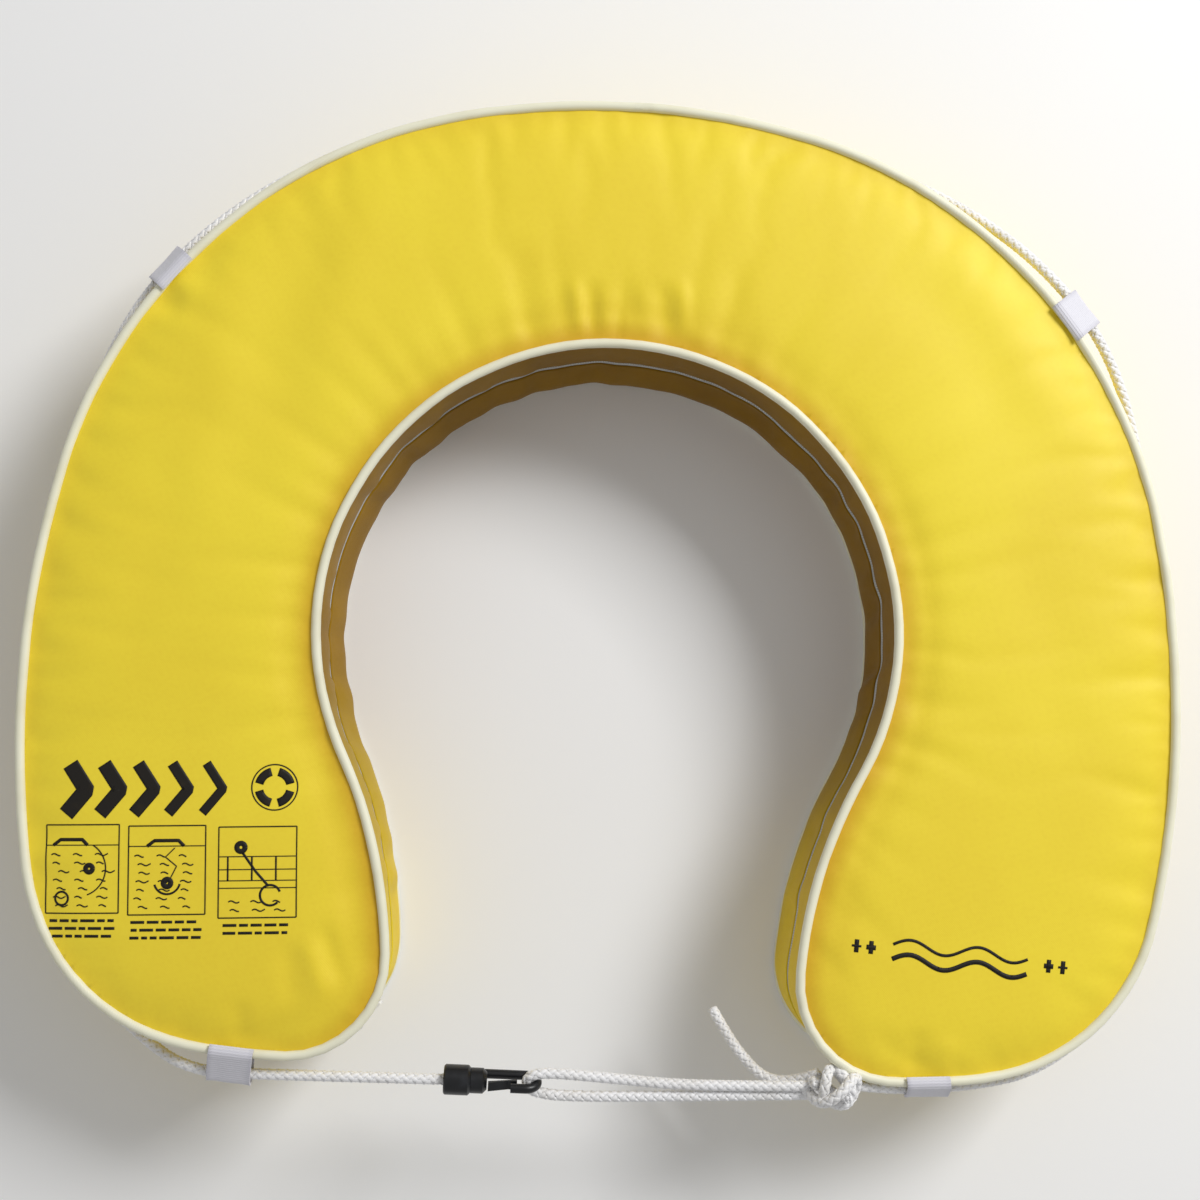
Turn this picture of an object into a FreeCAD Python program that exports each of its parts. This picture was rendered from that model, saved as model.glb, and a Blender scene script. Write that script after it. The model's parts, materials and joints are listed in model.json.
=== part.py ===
"""Horseshoe lifebuoy: a foam core in a zipped cloth cover, with piping, webbing tabs,
a grab rope and a snap hook that closes the gap between the arms.

Frame: the buoy lies on its back panel.  +Z is up, through the thickness; +Y runs to the
crown of the arch and -Y to the arm ends; +X runs to the arm with the rope's loop knot.
The origin is on the back face, in the middle of the buoy's length and width.
"""
import FreeCAD, Part
import math
import os

import Sketcher
from FreeCAD import Placement, Rotation, Vector

doc = FreeCAD.newDocument("horseshoe_lifebuoy")

# ---------------------------------------------------------------- driving dimensions
DIMENSIONS = [
    # the seam outline: tangent arcs, given as a radius and the angle that it turns
    ("arch_centre_y", -20.0),
    ("arch_radius", 163.0), ("arch_sweep", 234.6),
    ("arm_inner_radius", 278.0), ("arm_inner_sweep", 23.7),
    ("tip_radius", 52.5), ("tip_sweep", 94.1),
    ("arm_end_radius", 374.0), ("arm_end_sweep", 7.6),
    ("corner_radius", 112.5), ("corner_sweep", 70.7),
    ("side_radius", 543.0), ("side_sweep", 23.6),
    ("shoulder_radius", 283.5), ("shoulder_sweep", 64.0),
    # the cover
    ("thickness", 100.0), ("panel_gauge", 1.5), ("panel_inset", 2.85),
    ("wall_inset", 0.75), ("wall_gauge", 1.5), ("wall_margin", 6.0),
    ("piping_radius", 2.75), ("piping_height", 3.0),
    # the split between the inner and the outer wall
    ("split_half_width", 168.0), ("split_low_y", -256.0), ("split_high_y", 180.0),
    # the foam core
    ("foam_inset", 5.0), ("foam_floor", 1.8), ("foam_joint", 0.4),
    # the zip
    ("zip_height", 50.0), ("zip_gap", 1.0), ("coil_width", 2.2), ("tape_width", 8.0),
    ("coil_inset", 0.3), ("coil_gauge", 2.3), ("tape_inset", 0.95), ("tape_gauge", 1.0),
    ("slider_angle", -50.0), ("slider_length", 14.0), ("slider_height", 10.0),
    ("slider_gauge", 1.5), ("slider_gap", 0.3), ("slider_web", 0.5),
    ("pull_length", 19.0), ("pull_width", 6.0), ("pull_gauge", 1.6),
    # webbing tabs and rope
    ("tab_width", 24.0), ("tab_gauge", 1.2), ("tab_clearance", 0.7),
    ("rope_radius", 3.0),
    # the snap hook, in its own frame along the rope
    ("collar_radius", 8.2), ("collar_length", 15.0), ("collar_bore", 5.7),
    ("collar_mouth", 3.5), ("collar_back", 2.5), ("plug_radius", 5.5), ("plug_start", 10.0),
    ("neck_radius", 6.9), ("neck_end", 21.6), ("neck_taper", 2.2),
    ("bar_radius", 2.6), ("bend_radius", 6.6), ("bend_centre", 45.0), ("nose_start", 37.0),
    ("gate_gauge", 1.8), ("gate_start", 24.6), ("gate_end", 40.5), ("gate_breadth", 5.4),
]
sheet = doc.addObject("Spreadsheet::Sheet", "Dimensions")
for row, (alias, value) in enumerate(DIMENSIONS, start=1):
    sheet.set(f"A{row}", alias)
    sheet.set(f"B{row}", str(value))
    sheet.setAlias(f"B{row}", alias)
doc.recompute()


def dim(alias):
    """A driving dimension, read from the sheet."""
    return float(getattr(sheet, alias))


# ---------------------------------------------------------------- seam outline
TURNS = ("arm_inner", "tip", "arm_end", "corner", "side", "shoulder")


def right_half():
    """The right half's arcs, from the arch to the crown, as (centre, radius, start, end).

    The heading turns back to the left by each arc's sweep, and the last arc, over the
    crown, is the one that ends level on the axis.
    """
    radius, half = dim("arch_radius"), math.radians(dim("arch_sweep")) / 2
    centre = Vector(0, dim("arch_centre_y"), 0)
    point = centre + Vector(math.sin(half), math.cos(half), 0) * radius
    heading, arcs = -half, []
    for name in TURNS:
        radius, sweep = dim(name + "_radius"), math.radians(dim(name + "_sweep"))
        centre = point + Vector(-math.sin(heading), math.cos(heading), 0) * radius
        start = heading - math.pi / 2
        arcs.append((centre, radius, start, start + sweep))
        heading += sweep
        point = centre + Vector(math.cos(start + sweep), math.sin(start + sweep), 0) * radius
    crown_radius = point.x / math.sin(heading)
    crown_centre = Vector(0, point.y + crown_radius * math.cos(heading), 0)
    return arcs, (crown_centre, crown_radius, heading - math.pi / 2)


RIGHT_ARCS, (CROWN_CENTRE, CROWN_RADIUS, CROWN_START) = right_half()
TIP_CENTRE = RIGHT_ARCS[1][0]


def add_arc(sketch, centre, radius, start, end):
    circle = Part.Circle(centre, Vector(0, 0, 1), radius)
    return sketch.addGeometry(Part.ArcOfCircle(circle, start, end), False)


def bound(sketch, kind, arc, value, alias, unit):
    """A radius or an angle of an arc, bound to a cell of the sheet."""
    index = sketch.addConstraint(Sketcher.Constraint(kind, arc, value))
    name = f"{alias}_value"
    sketch.renameConstraint(index, name)
    sketch.setExpression(f"Constraints.{name}", f"Dimensions.{alias} * 1 {unit}")


def seam_outline():
    """The closed line of the seams, in the XY plane, as one sketch of tangent arcs."""
    start_point, end_point, centre_point, y_axis = 1, 2, 3, -2
    sketch = doc.addObject("Sketcher::SketchObject", "seam_outline")
    half = math.radians(dim("arch_sweep")) / 2
    up = math.pi / 2
    arch = add_arc(sketch, Vector(0, dim("arch_centre_y"), 0), dim("arch_radius"),
                   up - half, up + half)
    right = [add_arc(sketch, *arc) for arc in RIGHT_ARCS]
    left = [add_arc(sketch, Vector(-c.x, c.y, 0), r, math.pi - b, math.pi - a)
            for c, r, a, b in RIGHT_ARCS]
    crown = add_arc(sketch, CROWN_CENTRE, CROWN_RADIUS, CROWN_START, math.pi - CROWN_START)

    bound(sketch, "Radius", arch, dim("arch_radius"), "arch_radius", "mm")
    bound(sketch, "Angle", arch, 2 * half, "arch_sweep", "deg")
    centre_height = Sketcher.Constraint("DistanceY", -1, 1, arch, centre_point,
                                        dim("arch_centre_y"))
    sketch.renameConstraint(sketch.addConstraint(centre_height), "centre_height")
    sketch.setExpression("Constraints.centre_height", "Dimensions.arch_centre_y * 1 mm")
    sketch.addConstraint(Sketcher.Constraint(
        "Symmetric", arch, start_point, arch, end_point, y_axis))

    before, joint = arch, start_point
    for name, arc in zip(TURNS, right):
        sketch.addConstraint(Sketcher.Constraint("Tangent", before, joint, arc, start_point))
        bound(sketch, "Radius", arc, dim(name + "_radius"), name + "_radius", "mm")
        bound(sketch, "Angle", arc, math.radians(dim(name + "_sweep")), name + "_sweep", "deg")
        before, joint = arc, end_point
    before, joint = arch, end_point
    for arc, mirrored in zip(left, right):
        sketch.addConstraint(Sketcher.Constraint("Tangent", before, joint, arc, end_point))
        sketch.addConstraint(Sketcher.Constraint(
            "Symmetric", arc, start_point, mirrored, end_point, y_axis))
        before, joint = arc, start_point
    sketch.addConstraint(Sketcher.Constraint("Tangent", right[-1], end_point, crown, start_point))
    sketch.addConstraint(Sketcher.Constraint("Coincident", left[-1], start_point,
                                             crown, end_point))
    return sketch


outline = seam_outline()
doc.recompute()


# ---------------------------------------------------------------- building helpers
def inset(name, amount):
    """The outline moved inwards by an expression on the sheet."""
    made = doc.addObject("Part::Offset2D", name)
    made.Source = outline
    made.setExpression("Value", f"-({amount}) * 1 mm")
    return made


def extrusion(name, wire, low, high):
    """A solid between two heights, each an expression on the sheet."""
    made = doc.addObject("Part::Extrusion", name)
    made.Base = wire
    made.DirMode = "Custom"
    made.Dir = Vector(0, 0, 1)
    made.Solid = True
    made.setExpression("LengthFwd", f"({high}) * 1 mm")
    made.setExpression("LengthRev", f"-({low}) * 1 mm")
    return made


def combine(kind, name, base, tool):
    made = doc.addObject(f"Part::{kind}", name)
    made.Base = base
    made.Tool = tool
    return made


def block(name, sizes, corner):
    """A box whose sizes and lowest corner are expressions on the sheet."""
    made = doc.addObject("Part::Box", name)
    for side, size in zip(("Length", "Width", "Height"), sizes):
        made.setExpression(side, f"({size}) * 1 mm")
    for axis, place in zip("xyz", corner):
        made.setExpression(f"Placement.Base.{axis}", f"({place}) * 1 mm")
    return made


def drawn(name, shape, placement=Placement()):
    """A piece drawn with Part's own functions, then placed."""
    made = doc.addObject("Part::Feature", name)
    made.Shape = shape
    made.Placement = placement
    return made


PIECES = []


def piece(made, label):
    """Keeps a finished sub-part: its label names its node and its file."""
    made.Label = label
    PIECES.append(made)
    return made


# ---------------------------------------------------------------- cover panels and foam
D = "Dimensions."
panel_edge = inset("panel_edge", D + "panel_inset")
foam_edge = inset("foam_edge", D + "foam_inset")
piece(extrusion("front_panel_body", panel_edge,
                D + "thickness - " + D + "panel_gauge", D + "thickness"), "front_panel")
piece(extrusion("back_panel_body", panel_edge, "0", D + "panel_gauge"), "back_panel")
FOAM_MIDDLE = D + "thickness / 2"
piece(extrusion("foam_back_body", foam_edge, D + "foam_floor",
                f"{FOAM_MIDDLE} - {D}foam_joint / 2"), "foam_back_slab")
piece(extrusion("foam_front_body", foam_edge, f"{FOAM_MIDDLE} + {D}foam_joint / 2",
                f"{D}thickness - {D}foam_floor"), "foam_front_slab")


# ---------------------------------------------------------------- walls and zip strips
def strip(name, offset, gauge, low, high):
    """A band of cloth on edge that follows the whole outline."""
    skin = extrusion(name + "_skin", inset(name + "_skin_line", offset), low, high)
    core = extrusion(name + "_core", inset(name + "_core_line", f"{offset} + {gauge}"),
                     f"{low} - 1", f"{high} + 1")
    return combine("Cut", name + "_band", skin, core)


inner_zone = block("inner_zone", (f"2 * {D}split_half_width", f"{D}split_high_y - {D}split_low_y",
                                  f"{D}thickness"),
                   (f"-{D}split_half_width", f"{D}split_low_y", "0"))
WALL = (D + "wall_inset", D + "wall_gauge")
ZIP = f"{D}zip_height"
COIL_EDGE = f"({D}zip_gap / 2 + {D}coil_width)"
TAPE_EDGE = f"({COIL_EDGE} + {D}tape_width)"

whole_wall = strip("outer", *WALL, D + "wall_margin", f"{D}thickness - {D}wall_margin")
piece(combine("Cut", "outer_wall_body", whole_wall, inner_zone), "outer_wall")

STRIPS = [
    # label, inset, gauge, lower and upper distance from the middle of the zip
    ("inner_wall", *WALL, TAPE_EDGE, f"({D}thickness / 2 - {D}wall_margin)"),
    ("zip_tape", D + "tape_inset", D + "tape_gauge", COIL_EDGE, TAPE_EDGE),
    ("zip_coil", D + "coil_inset", D + "coil_gauge", f"{D}zip_gap / 2", COIL_EDGE),
]
for label, offset, gauge, near, far in STRIPS:
    for side, low, high in (("front", f"{ZIP} + {near}", f"{ZIP} + {far}"),
                            ("back", f"{ZIP} - {far}", f"{ZIP} - {near}")):
        band = strip(f"{label}_{side}", offset, gauge, low, high)
        piece(combine("Common", f"{label}_{side}_body", band, inner_zone), f"{label}_{side}")


# ---------------------------------------------------------------- piping
def piping(name, height):
    """A round cord cased in cloth, sewn into the seam all the way round."""
    path = outline.Shape.Wires[0].copy()
    path.translate(Vector(0, 0, height))
    start = path.OrderedVertexes[0].Point
    edge = path.OrderedEdges[0]
    along = edge.tangentAt(edge.FirstParameter)
    section = Part.Wire(Part.Circle(start, along, dim("piping_radius")).toShape())
    return drawn(name, path.makePipeShell([section], True, True))


piece(piping("back_piping_body", dim("piping_height")), "back_piping")
piece(piping("front_piping_body", dim("thickness") - dim("piping_height")), "front_piping")


# ---------------------------------------------------------------- zip slider and pull
LEFT_TIP = Vector(-TIP_CENTRE.x, TIP_CENTRE.y, 0)


def sector(name, inner, outer, low, high, length):
    """Part of a ring about the left arm's tip, centred on the slider's place."""
    ring = []
    for which, reach in (("inner", inner), ("outer", outer)):
        tube = doc.addObject("Part::Cylinder", f"{name}_{which}")
        tube.setExpression("Radius", f"({D}tip_radius + ({reach})) * 1 mm")
        tube.setExpression("Height", f"({high} - ({low})) * 1 mm")
        tube.setExpression("Angle", f"({length}) / {D}tip_radius * 1 rad")
        tube.setExpression("Placement.Base.z", f"({low}) * 1 mm")
        tube.setExpression("Placement.Base.x", f"{LEFT_TIP.x} * 1 mm")
        tube.setExpression("Placement.Base.y", f"{LEFT_TIP.y} * 1 mm")
        tube.setExpression("Placement.Rotation.Angle",
                           f"{D}slider_angle * 1 deg - ({length}) / {D}tip_radius / 2 * 1 rad")
        ring.append(tube)
    return combine("Cut", name, ring[1], ring[0])


def fused(name, shapes):
    made = doc.addObject("Part::MultiFuse", name)
    made.Shapes = shapes
    return made


OUTER_FACE = f"({D}slider_gap - {D}coil_inset)"
INNER_FACE = f"(-{D}coil_inset - {D}coil_gauge - {D}slider_gap)"
HALF_HEIGHT = f"{D}slider_height / 2"
slider_plate = sector("slider_plate", OUTER_FACE, f"{OUTER_FACE} + {D}slider_gauge",
                      f"{ZIP} - {HALF_HEIGHT}", f"{ZIP} + {HALF_HEIGHT}", D + "slider_length")
slider_heel = sector("slider_heel", f"{INNER_FACE} - {D}slider_gauge * 0.7", INNER_FACE,
                     f"{ZIP} - {HALF_HEIGHT} * 0.7", f"{ZIP} + {HALF_HEIGHT} * 0.7",
                     f"{D}slider_length * 0.8")
slider_web = sector("slider_web_wall", f"{INNER_FACE} - 0.1", f"{OUTER_FACE} + 0.1",
                    f"{ZIP} - {D}slider_web / 2", f"{ZIP} + {D}slider_web / 2",
                    f"{D}slider_length * 0.6")
LUG_HEIGHT, LUG_RADIUS, LUG_EYE, LUG_STAND = 3.0, 2.4, 1.1, 1.9
outward = Vector(math.cos(math.radians(dim("slider_angle"))),
                 math.sin(math.radians(dim("slider_angle"))), 0)
slider_face = dim("tip_radius") + dim("slider_gap") - dim("coil_inset") + dim("slider_gauge")
PIVOT = LEFT_TIP + outward * (slider_face + LUG_STAND) + Vector(0, 0, dim("zip_height"))
lug = doc.addObject("Part::Cylinder", "slider_lug")
lug.Radius, lug.Height = LUG_RADIUS, LUG_HEIGHT
lug.Placement = Placement(PIVOT - Vector(0, 0, LUG_HEIGHT / 2), Rotation())
lug_eye = doc.addObject("Part::Cylinder", "slider_lug_eye")
lug_eye.Radius, lug_eye.Height = LUG_EYE, LUG_HEIGHT + 2
lug_eye.Placement = Placement(PIVOT - Vector(0, 0, LUG_HEIGHT / 2 + 1), Rotation())
slider_bodies = fused("slider_bodies", [slider_plate, slider_heel, slider_web, lug])
piece(combine("Cut", "zip_slider_body", slider_bodies, lug_eye), "zip_slider")


def pull_shape():
    """A pin through the lug, two cheeks beside it and a flat tab, lying along the wall."""
    pin_radius, cheek, clear = LUG_EYE - 0.08, 1.2, 0.3
    length, width, gauge = dim("pull_length"), dim("pull_width"), dim("pull_gauge")
    reach = LUG_HEIGHT / 2 + clear
    pin = Part.makeCylinder(pin_radius, 2 * (reach + cheek), Vector(0, 0, -reach - cheek))
    parts = [pin]
    for low in (reach, -reach - cheek):
        arm = Part.makeBox(LUG_RADIUS + 3, gauge, cheek, Vector(0, -gauge / 2, low))
        parts.append(arm.fuse(Part.makeCylinder(pin_radius + 0.4, cheek, Vector(0, 0, low))))
    half = max(width / 2, reach + cheek)
    tab = Part.makeBox(length - LUG_RADIUS - 1, gauge, 2 * half,
                       Vector(LUG_RADIUS + 1, -gauge / 2, -half))
    ends = [e for e in tab.Edges if abs(e.Vertexes[0].X - length) < 1e-6
            and abs(e.Vertexes[1].X - length) < 1e-6 and abs(e.Length - gauge) < 1e-6]
    return parts[0].multiFuse(parts[1:] + [tab.makeFillet(2.2, ends)]).removeSplitter()


PULL_LEAN = 9.5
piece(drawn("zip_pull_body", pull_shape(),
            Placement(PIVOT, Rotation(Vector(0, 0, 1),
                                      dim("slider_angle") + 90 + PULL_LEAN))), "zip_pull")


def zip_stop(side):
    """A crimped metal stop over both coils, past the end of the slider's travel."""
    angle = dim("slider_angle") - math.degrees(dim("slider_length") / dim("tip_radius")) * 0.5 - 5
    box = Part.makeBox(2.4, 4.0, 5.0, Vector(dim("tip_radius") - 0.1, -2.0, -2.5))
    turn = Rotation(Vector(0, 0, 1), angle if side < 0 else 180 - angle)
    centre = Vector(side * TIP_CENTRE.x, TIP_CENTRE.y, dim("zip_height"))
    return box, Placement(centre, turn)


piece(drawn("zip_stop_near_body", *zip_stop(-1)), "zip_stop_slider_end")
piece(drawn("zip_stop_far_body", *zip_stop(1)), "zip_stop_far_end")


# ---------------------------------------------------------------- rope, as tubes
def tube(name, points, radius):
    """A rope of straight runs joined by tangent arcs, as large as the runs allow."""
    points = [Vector(*p) for p in points]
    edges, here, radii = [], points[0], []
    for before, corner, after in zip(points, points[1:], points[2:]):
        into, out = (corner - before), (after - corner)
        reach = 0.45 * min(into.Length, out.Length)
        half_turn = into.getAngle(out) / 2
        radii.append(reach / math.tan(half_turn))
        into.normalize()
        out.normalize()
        first, last = corner - into * reach, corner + out * reach
        middle_way = (out - into).normalize()
        middle = corner + middle_way * radii[-1] * (1 / math.cos(half_turn) - 1)
        edges.append(Part.LineSegment(here, first).toShape())
        edges.append(Part.Arc(first, middle, last).toShape())
        here = last
    edges.append(Part.LineSegment(here, points[-1]).toShape())
    path = Part.Wire(edges)
    section = Part.Wire(Part.Circle(points[0], points[1] - points[0], radius).toShape())
    solid = path.makePipeShell([section], True, False)
    ratio = solid.Volume / (math.pi * radius ** 2 * path.Length)
    print(f"{name}: length {path.Length:.0f} mm, volume ratio {ratio:.4f},"
          f" radii {[round(r) for r in radii]}")
    return drawn(name + "_body", solid)


ROPE_RADIUS = dim("rope_radius")
GRAB_ROPE = [
    (-70, -272, 84), (-217, -273, 88), (-249, -256, 79), (-292, -221, 66), (-318, -168, 57),
    (-325, -118, 52), (-327, -39, 50), (-319, 37, 53), (-307, 95, 66), (-278, 152, 86),
    (-241, 197, 87), (-194, 238, 77), (-133, 269, 62), (-64, 284, 55), (3, 289, 53),
    (70, 284, 56), (140, 268, 64), (198, 240, 78), (246, 202, 88), (284, 155, 87),
    (309, 96, 68), (320, 36, 55), (327, -40, 51), (325, -116, 53), (317, -170, 60),
    (295, -224, 70), (255, -254, 81), (214, -263, 88), (164, -263, 89), (146, -264, 92),
]
ROPE_LOOP = [
    (123, -266, 91), (61, -270, 86), (8, -267, 86), (-20, -265.5, 87), (-29.7, -266.8, 87),
    (-33.2, -269.9, 85.2), (-33.2, -274.1, 82.8), (-29.7, -277.2, 81), (-14, -279.5, 80.5),
    (48, -278, 83), (128, -272, 88),
]
ROPE_TAIL = [
    (128, -259, 89.5), (117, -266, 80), (101, -267, 75), (88, -256, 71), (78, -243, 67),
    (70.5, -231, 63),
]
piece(tube("grab_rope", GRAB_ROPE, ROPE_RADIUS), "grab_rope")
piece(tube("rope_loop", ROPE_LOOP, ROPE_RADIUS), "rope_loop")
piece(tube("rope_tail", ROPE_TAIL, ROPE_RADIUS), "rope_tail")

KNOT_CENTRE, KNOT_SEMI_AXES = Vector(135, -265, 94.5), (13.6, 12.5, 11.5)


def ball(semi_axes):
    """A closed ellipsoid, round enough to stand for a drawn-up knot."""
    matrix = FreeCAD.Matrix()
    matrix.scale(Vector(*semi_axes))
    return Part.makeSphere(1.0).transformGeometry(matrix)


knot = ball(KNOT_SEMI_AXES)
knot.translate(KNOT_CENTRE)
for rope in PIECES[-3:]:
    knot = knot.cut(rope.Shape)
piece(drawn("loop_knot_body", max(knot.Solids, key=lambda s: s.Volume)), "loop_knot")


# ---------------------------------------------------------------- webbing tabs
def nearest_on_outline(point):
    """The seam's nearest point, and the way out of the cloth there."""
    seam = outline.Shape.Wires[0].distToShape(Part.Vertex(point.x, point.y, 0))[1][0][0]
    return seam, (Vector(point.x, point.y, 0) - seam).normalize()


def tab_shape(rope_out, rope_height):
    """A flat loop from the seam, over the piping, round the rope and back under.

    Drawn with X along the rope, Y out of the cloth and Z up.
    """
    width, gauge, clear = dim("tab_width"), dim("tab_gauge"), dim("tab_clearance")
    piping_at = Vector(0, 0, dim("thickness") - dim("piping_height"))
    rope_at = Vector(0, rope_out, rope_height)

    def hull(grow):
        """Two round ends and the flats between them, grown by an amount."""
        radii = (dim("piping_radius") + clear + grow, ROPE_RADIUS + clear + grow)
        axis = rope_at - piping_at
        tilt = math.acos((radii[0] - radii[1]) / axis.Length)
        flat = []
        for side in (1, -1):
            way = Rotation(Vector(1, 0, 0), side * math.degrees(tilt)).multVec(axis).normalize()
            flat.append([piping_at + way * radii[0], rope_at + way * radii[1]])
        outline_points = [flat[0][0], flat[0][1], flat[1][1], flat[1][0], flat[0][0]]
        face = Part.Face(Part.makePolygon(outline_points))
        half = Vector(-width / 2, 0, 0)
        solid = face.extrude(Vector(width, 0, 0))
        solid.translate(half)
        for centre, radius in ((piping_at, radii[0]), (rope_at, radii[1])):
            solid = solid.fuse(Part.makeCylinder(radius, width, centre + half, Vector(1, 0, 0)))
        return solid

    band = hull(gauge).cut(hull(0))
    upper = Part.makeBox(2 * width, 30, 60, Vector(-width, -30 - dim("panel_inset") + 0.1, 60))
    lower = Part.makeBox(2 * width, 30, 60,
                         Vector(-width, -30 - dim("wall_inset") + 0.3, 36.5))
    band = band.cut(upper).cut(lower)
    return max(band.Solids, key=lambda s: s.Volume)


TABS = {
    # label: where the rope's centre line passes through the tab
    "rope_tab_lower_left": Vector(-195, -272.9, 87.5),
    "rope_tab_upper_left": Vector(-260, 174, 86.5),
    "rope_tab_upper_right": Vector(265, 178.5, 87.5),
    "rope_tab_lower_right": Vector(187, -263, 88.5),
}
for label, place in TABS.items():
    seam_point, way_out = nearest_on_outline(place)
    out = (Vector(place.x, place.y, 0) - seam_point).Length
    turn = Rotation(Vector(0, 1, 0), way_out)
    if way_out.y < 0:
        turn = Rotation(Vector(0, 0, 1), math.degrees(math.atan2(-way_out.x, way_out.y)))
    piece(drawn(label + "_body", tab_shape(out, place.z), Placement(seam_point, turn)), label)
    print(f"{label}: rope {out:.1f} mm outside the seam")


# ---------------------------------------------------------------- snap hook
# The hook's own frame: X along the rope, Y across the eye towards the nose, Z across both.
HOOK_TURN = 111.0
HOOK_FRAME = Placement(Vector(-79, -272, 84), Rotation(Vector(1, 0, 0), HOOK_TURN))


def base_plane(body, role):
    return next(f for f in body.Origin.OriginFeatures if f.Role == role)


def hook_part(name):
    body = doc.addObject("PartDesign::Body", name)
    body.Placement = HOOK_FRAME
    return body


def sketch_on(body, name, role, offset=Placement()):
    sketch = body.newObject("Sketcher::SketchObject", name)
    sketch.AttachmentSupport = [(base_plane(body, role), "")]
    sketch.MapMode = "FlatFace"
    sketch.AttachmentOffset = offset
    return sketch


def closed_polygon(sketch, points):
    for a, b in zip(points, points[1:] + points[:1]):
        sketch.addGeometry(Part.LineSegment(Vector(*a, 0), Vector(*b, 0)), False)
    for index in range(len(points)):
        sketch.addConstraint(Sketcher.Constraint(
            "Coincident", index, 2, (index + 1) % len(points), 1))


def bound_point(sketch, line, point, across, along):
    """Holds a corner of a profile at two cells of the sheet."""
    for kind, expression in (("DistanceX", across), ("DistanceY", along)):
        index = sketch.addConstraint(Sketcher.Constraint(kind, -1, 1, line, point, 1.0))
        name = f"{kind}_{line}_{point}"
        sketch.renameConstraint(index, name)
        sketch.setExpression(f"Constraints.{name}", f"({expression}) * 1 mm")


def turned(body, name, profile):
    """A solid of revolution about the hook's X axis, from corners given as expressions."""
    sketch = sketch_on(body, name + "_profile", "XY_Plane")
    numbers = [(float(sheet_value(a)), float(sheet_value(b))) for a, b in profile]
    closed_polygon(sketch, numbers)
    for index, (across, along) in enumerate(profile):
        bound_point(sketch, index, 1, across, along)
    feature = body.newObject("PartDesign::Revolution", name)
    feature.Profile = sketch
    feature.ReferenceAxis = (sketch, ["H_Axis"])
    feature.Angle = 360
    return feature


def sheet_value(expression):
    """The number that an expression of the sheet's cells and plus or minus signs gives."""
    total, sign = 0.0, 1
    for word in expression.split():
        if word in "+-":
            sign = 1 if word == "+" else -1
        else:
            total += sign * (dim(word[len(D):]) if word.startswith(D) else float(word))
    return total


collar = hook_part("hook_collar_body")
CHAMFER = "1.6"
turned(collar, "collar_cup", [
    ("0", D + "collar_mouth"), ("0", f"{D}collar_radius - 0.8"), ("0.8", D + "collar_radius"),
    (f"{D}collar_length - {CHAMFER}", D + "collar_radius"),
    (D + "collar_length", f"{D}collar_radius - {CHAMFER}"),
    (D + "collar_length", D + "collar_bore"), (D + "collar_back", D + "collar_bore"),
    (D + "collar_back", D + "collar_mouth")])
piece(collar, "hook_collar")

hook = hook_part("hook_main_body")
turned(hook, "neck", [
    (D + "plug_start", "0"), (D + "plug_start", D + "plug_radius"),
    (D + "collar_length", D + "plug_radius"), (D + "collar_length", D + "neck_radius"),
    (D + "neck_end", D + "neck_radius"),
    (f"{D}neck_end + {D}neck_taper", f"{D}neck_radius - {D}neck_taper"),
    (f"{D}neck_end + {D}neck_taper", "0")])

spine_y = -(2 * dim("bend_radius") - 6.2)
nose_y = spine_y + 2 * dim("bend_radius")
bend_y = (spine_y + nose_y) / 2
path = sketch_on(hook, "bar_path", "XY_Plane")
bend = Part.ArcOfCircle(Part.Circle(Vector(dim("bend_centre"), bend_y, 0), Vector(0, 0, 1),
                                    dim("bend_radius")), -math.pi / 2, math.pi / 2)
path.addGeometry(Part.LineSegment(Vector(dim("neck_end") - 2, spine_y, 0),
                                  Vector(dim("bend_centre"), spine_y, 0)), False)
path.addGeometry(bend, False)
path.addGeometry(Part.LineSegment(Vector(dim("bend_centre"), nose_y, 0),
                                  Vector(dim("nose_start"), nose_y, 0)), False)
path.addConstraint(Sketcher.Constraint("Tangent", 0, 2, 1, 1))
path.addConstraint(Sketcher.Constraint("Tangent", 1, 2, 2, 1))
section = sketch_on(hook, "bar_section", "YZ_Plane",
                    Placement(Vector(0, 0, dim("neck_end") - 2), Rotation()))
ring = section.addGeometry(Part.Circle(Vector(spine_y, 0, 0), Vector(0, 0, 1),
                                       dim("bar_radius")), False)
bound(section, "Radius", ring, dim("bar_radius"), "bar_radius", "mm")
doc.recompute()
bar = hook.newObject("PartDesign::AdditivePipe", "bar")
bar.Profile = section
bar.Spine = (path, ["Edge1", "Edge2", "Edge3"])
piece(hook, "hook_body")

gate = hook_part("hook_gate_body")
gate_sketch = sketch_on(gate, "gate_profile", "XY_Plane")
gate_top, gate_root = nose_y - dim("bar_radius") - 0.3, nose_y - 0.2
closed_polygon(gate_sketch, [
    (dim("gate_start"), gate_root), (dim("gate_start"), gate_root - dim("gate_gauge")),
    (dim("gate_end"), gate_top - dim("gate_gauge")), (dim("gate_end"), gate_top),
    (dim("nose_start") - 1.5, gate_top)])
gate_pad = gate.newObject("PartDesign::Pad", "gate_tongue")
gate_pad.Profile = gate_sketch
gate_pad.setExpression("Length", f"{D}gate_breadth * 1 mm")
gate_pad.Midplane = True
piece(gate, "hook_gate")

stopper = ball((3.4, 5.2, 5.2))
knot_middle = (dim("collar_back") + dim("plug_start")) / 2
stopper.translate(Vector(knot_middle, 0, 0))
stopper = stopper.transformGeometry(HOOK_FRAME.toMatrix()).cut(
    next(p for p in PIECES if p.Label == "grab_rope").Shape)
piece(drawn("stopper_knot_body", max(stopper.Solids, key=lambda s: s.Volume)), "stopper_knot")

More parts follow.
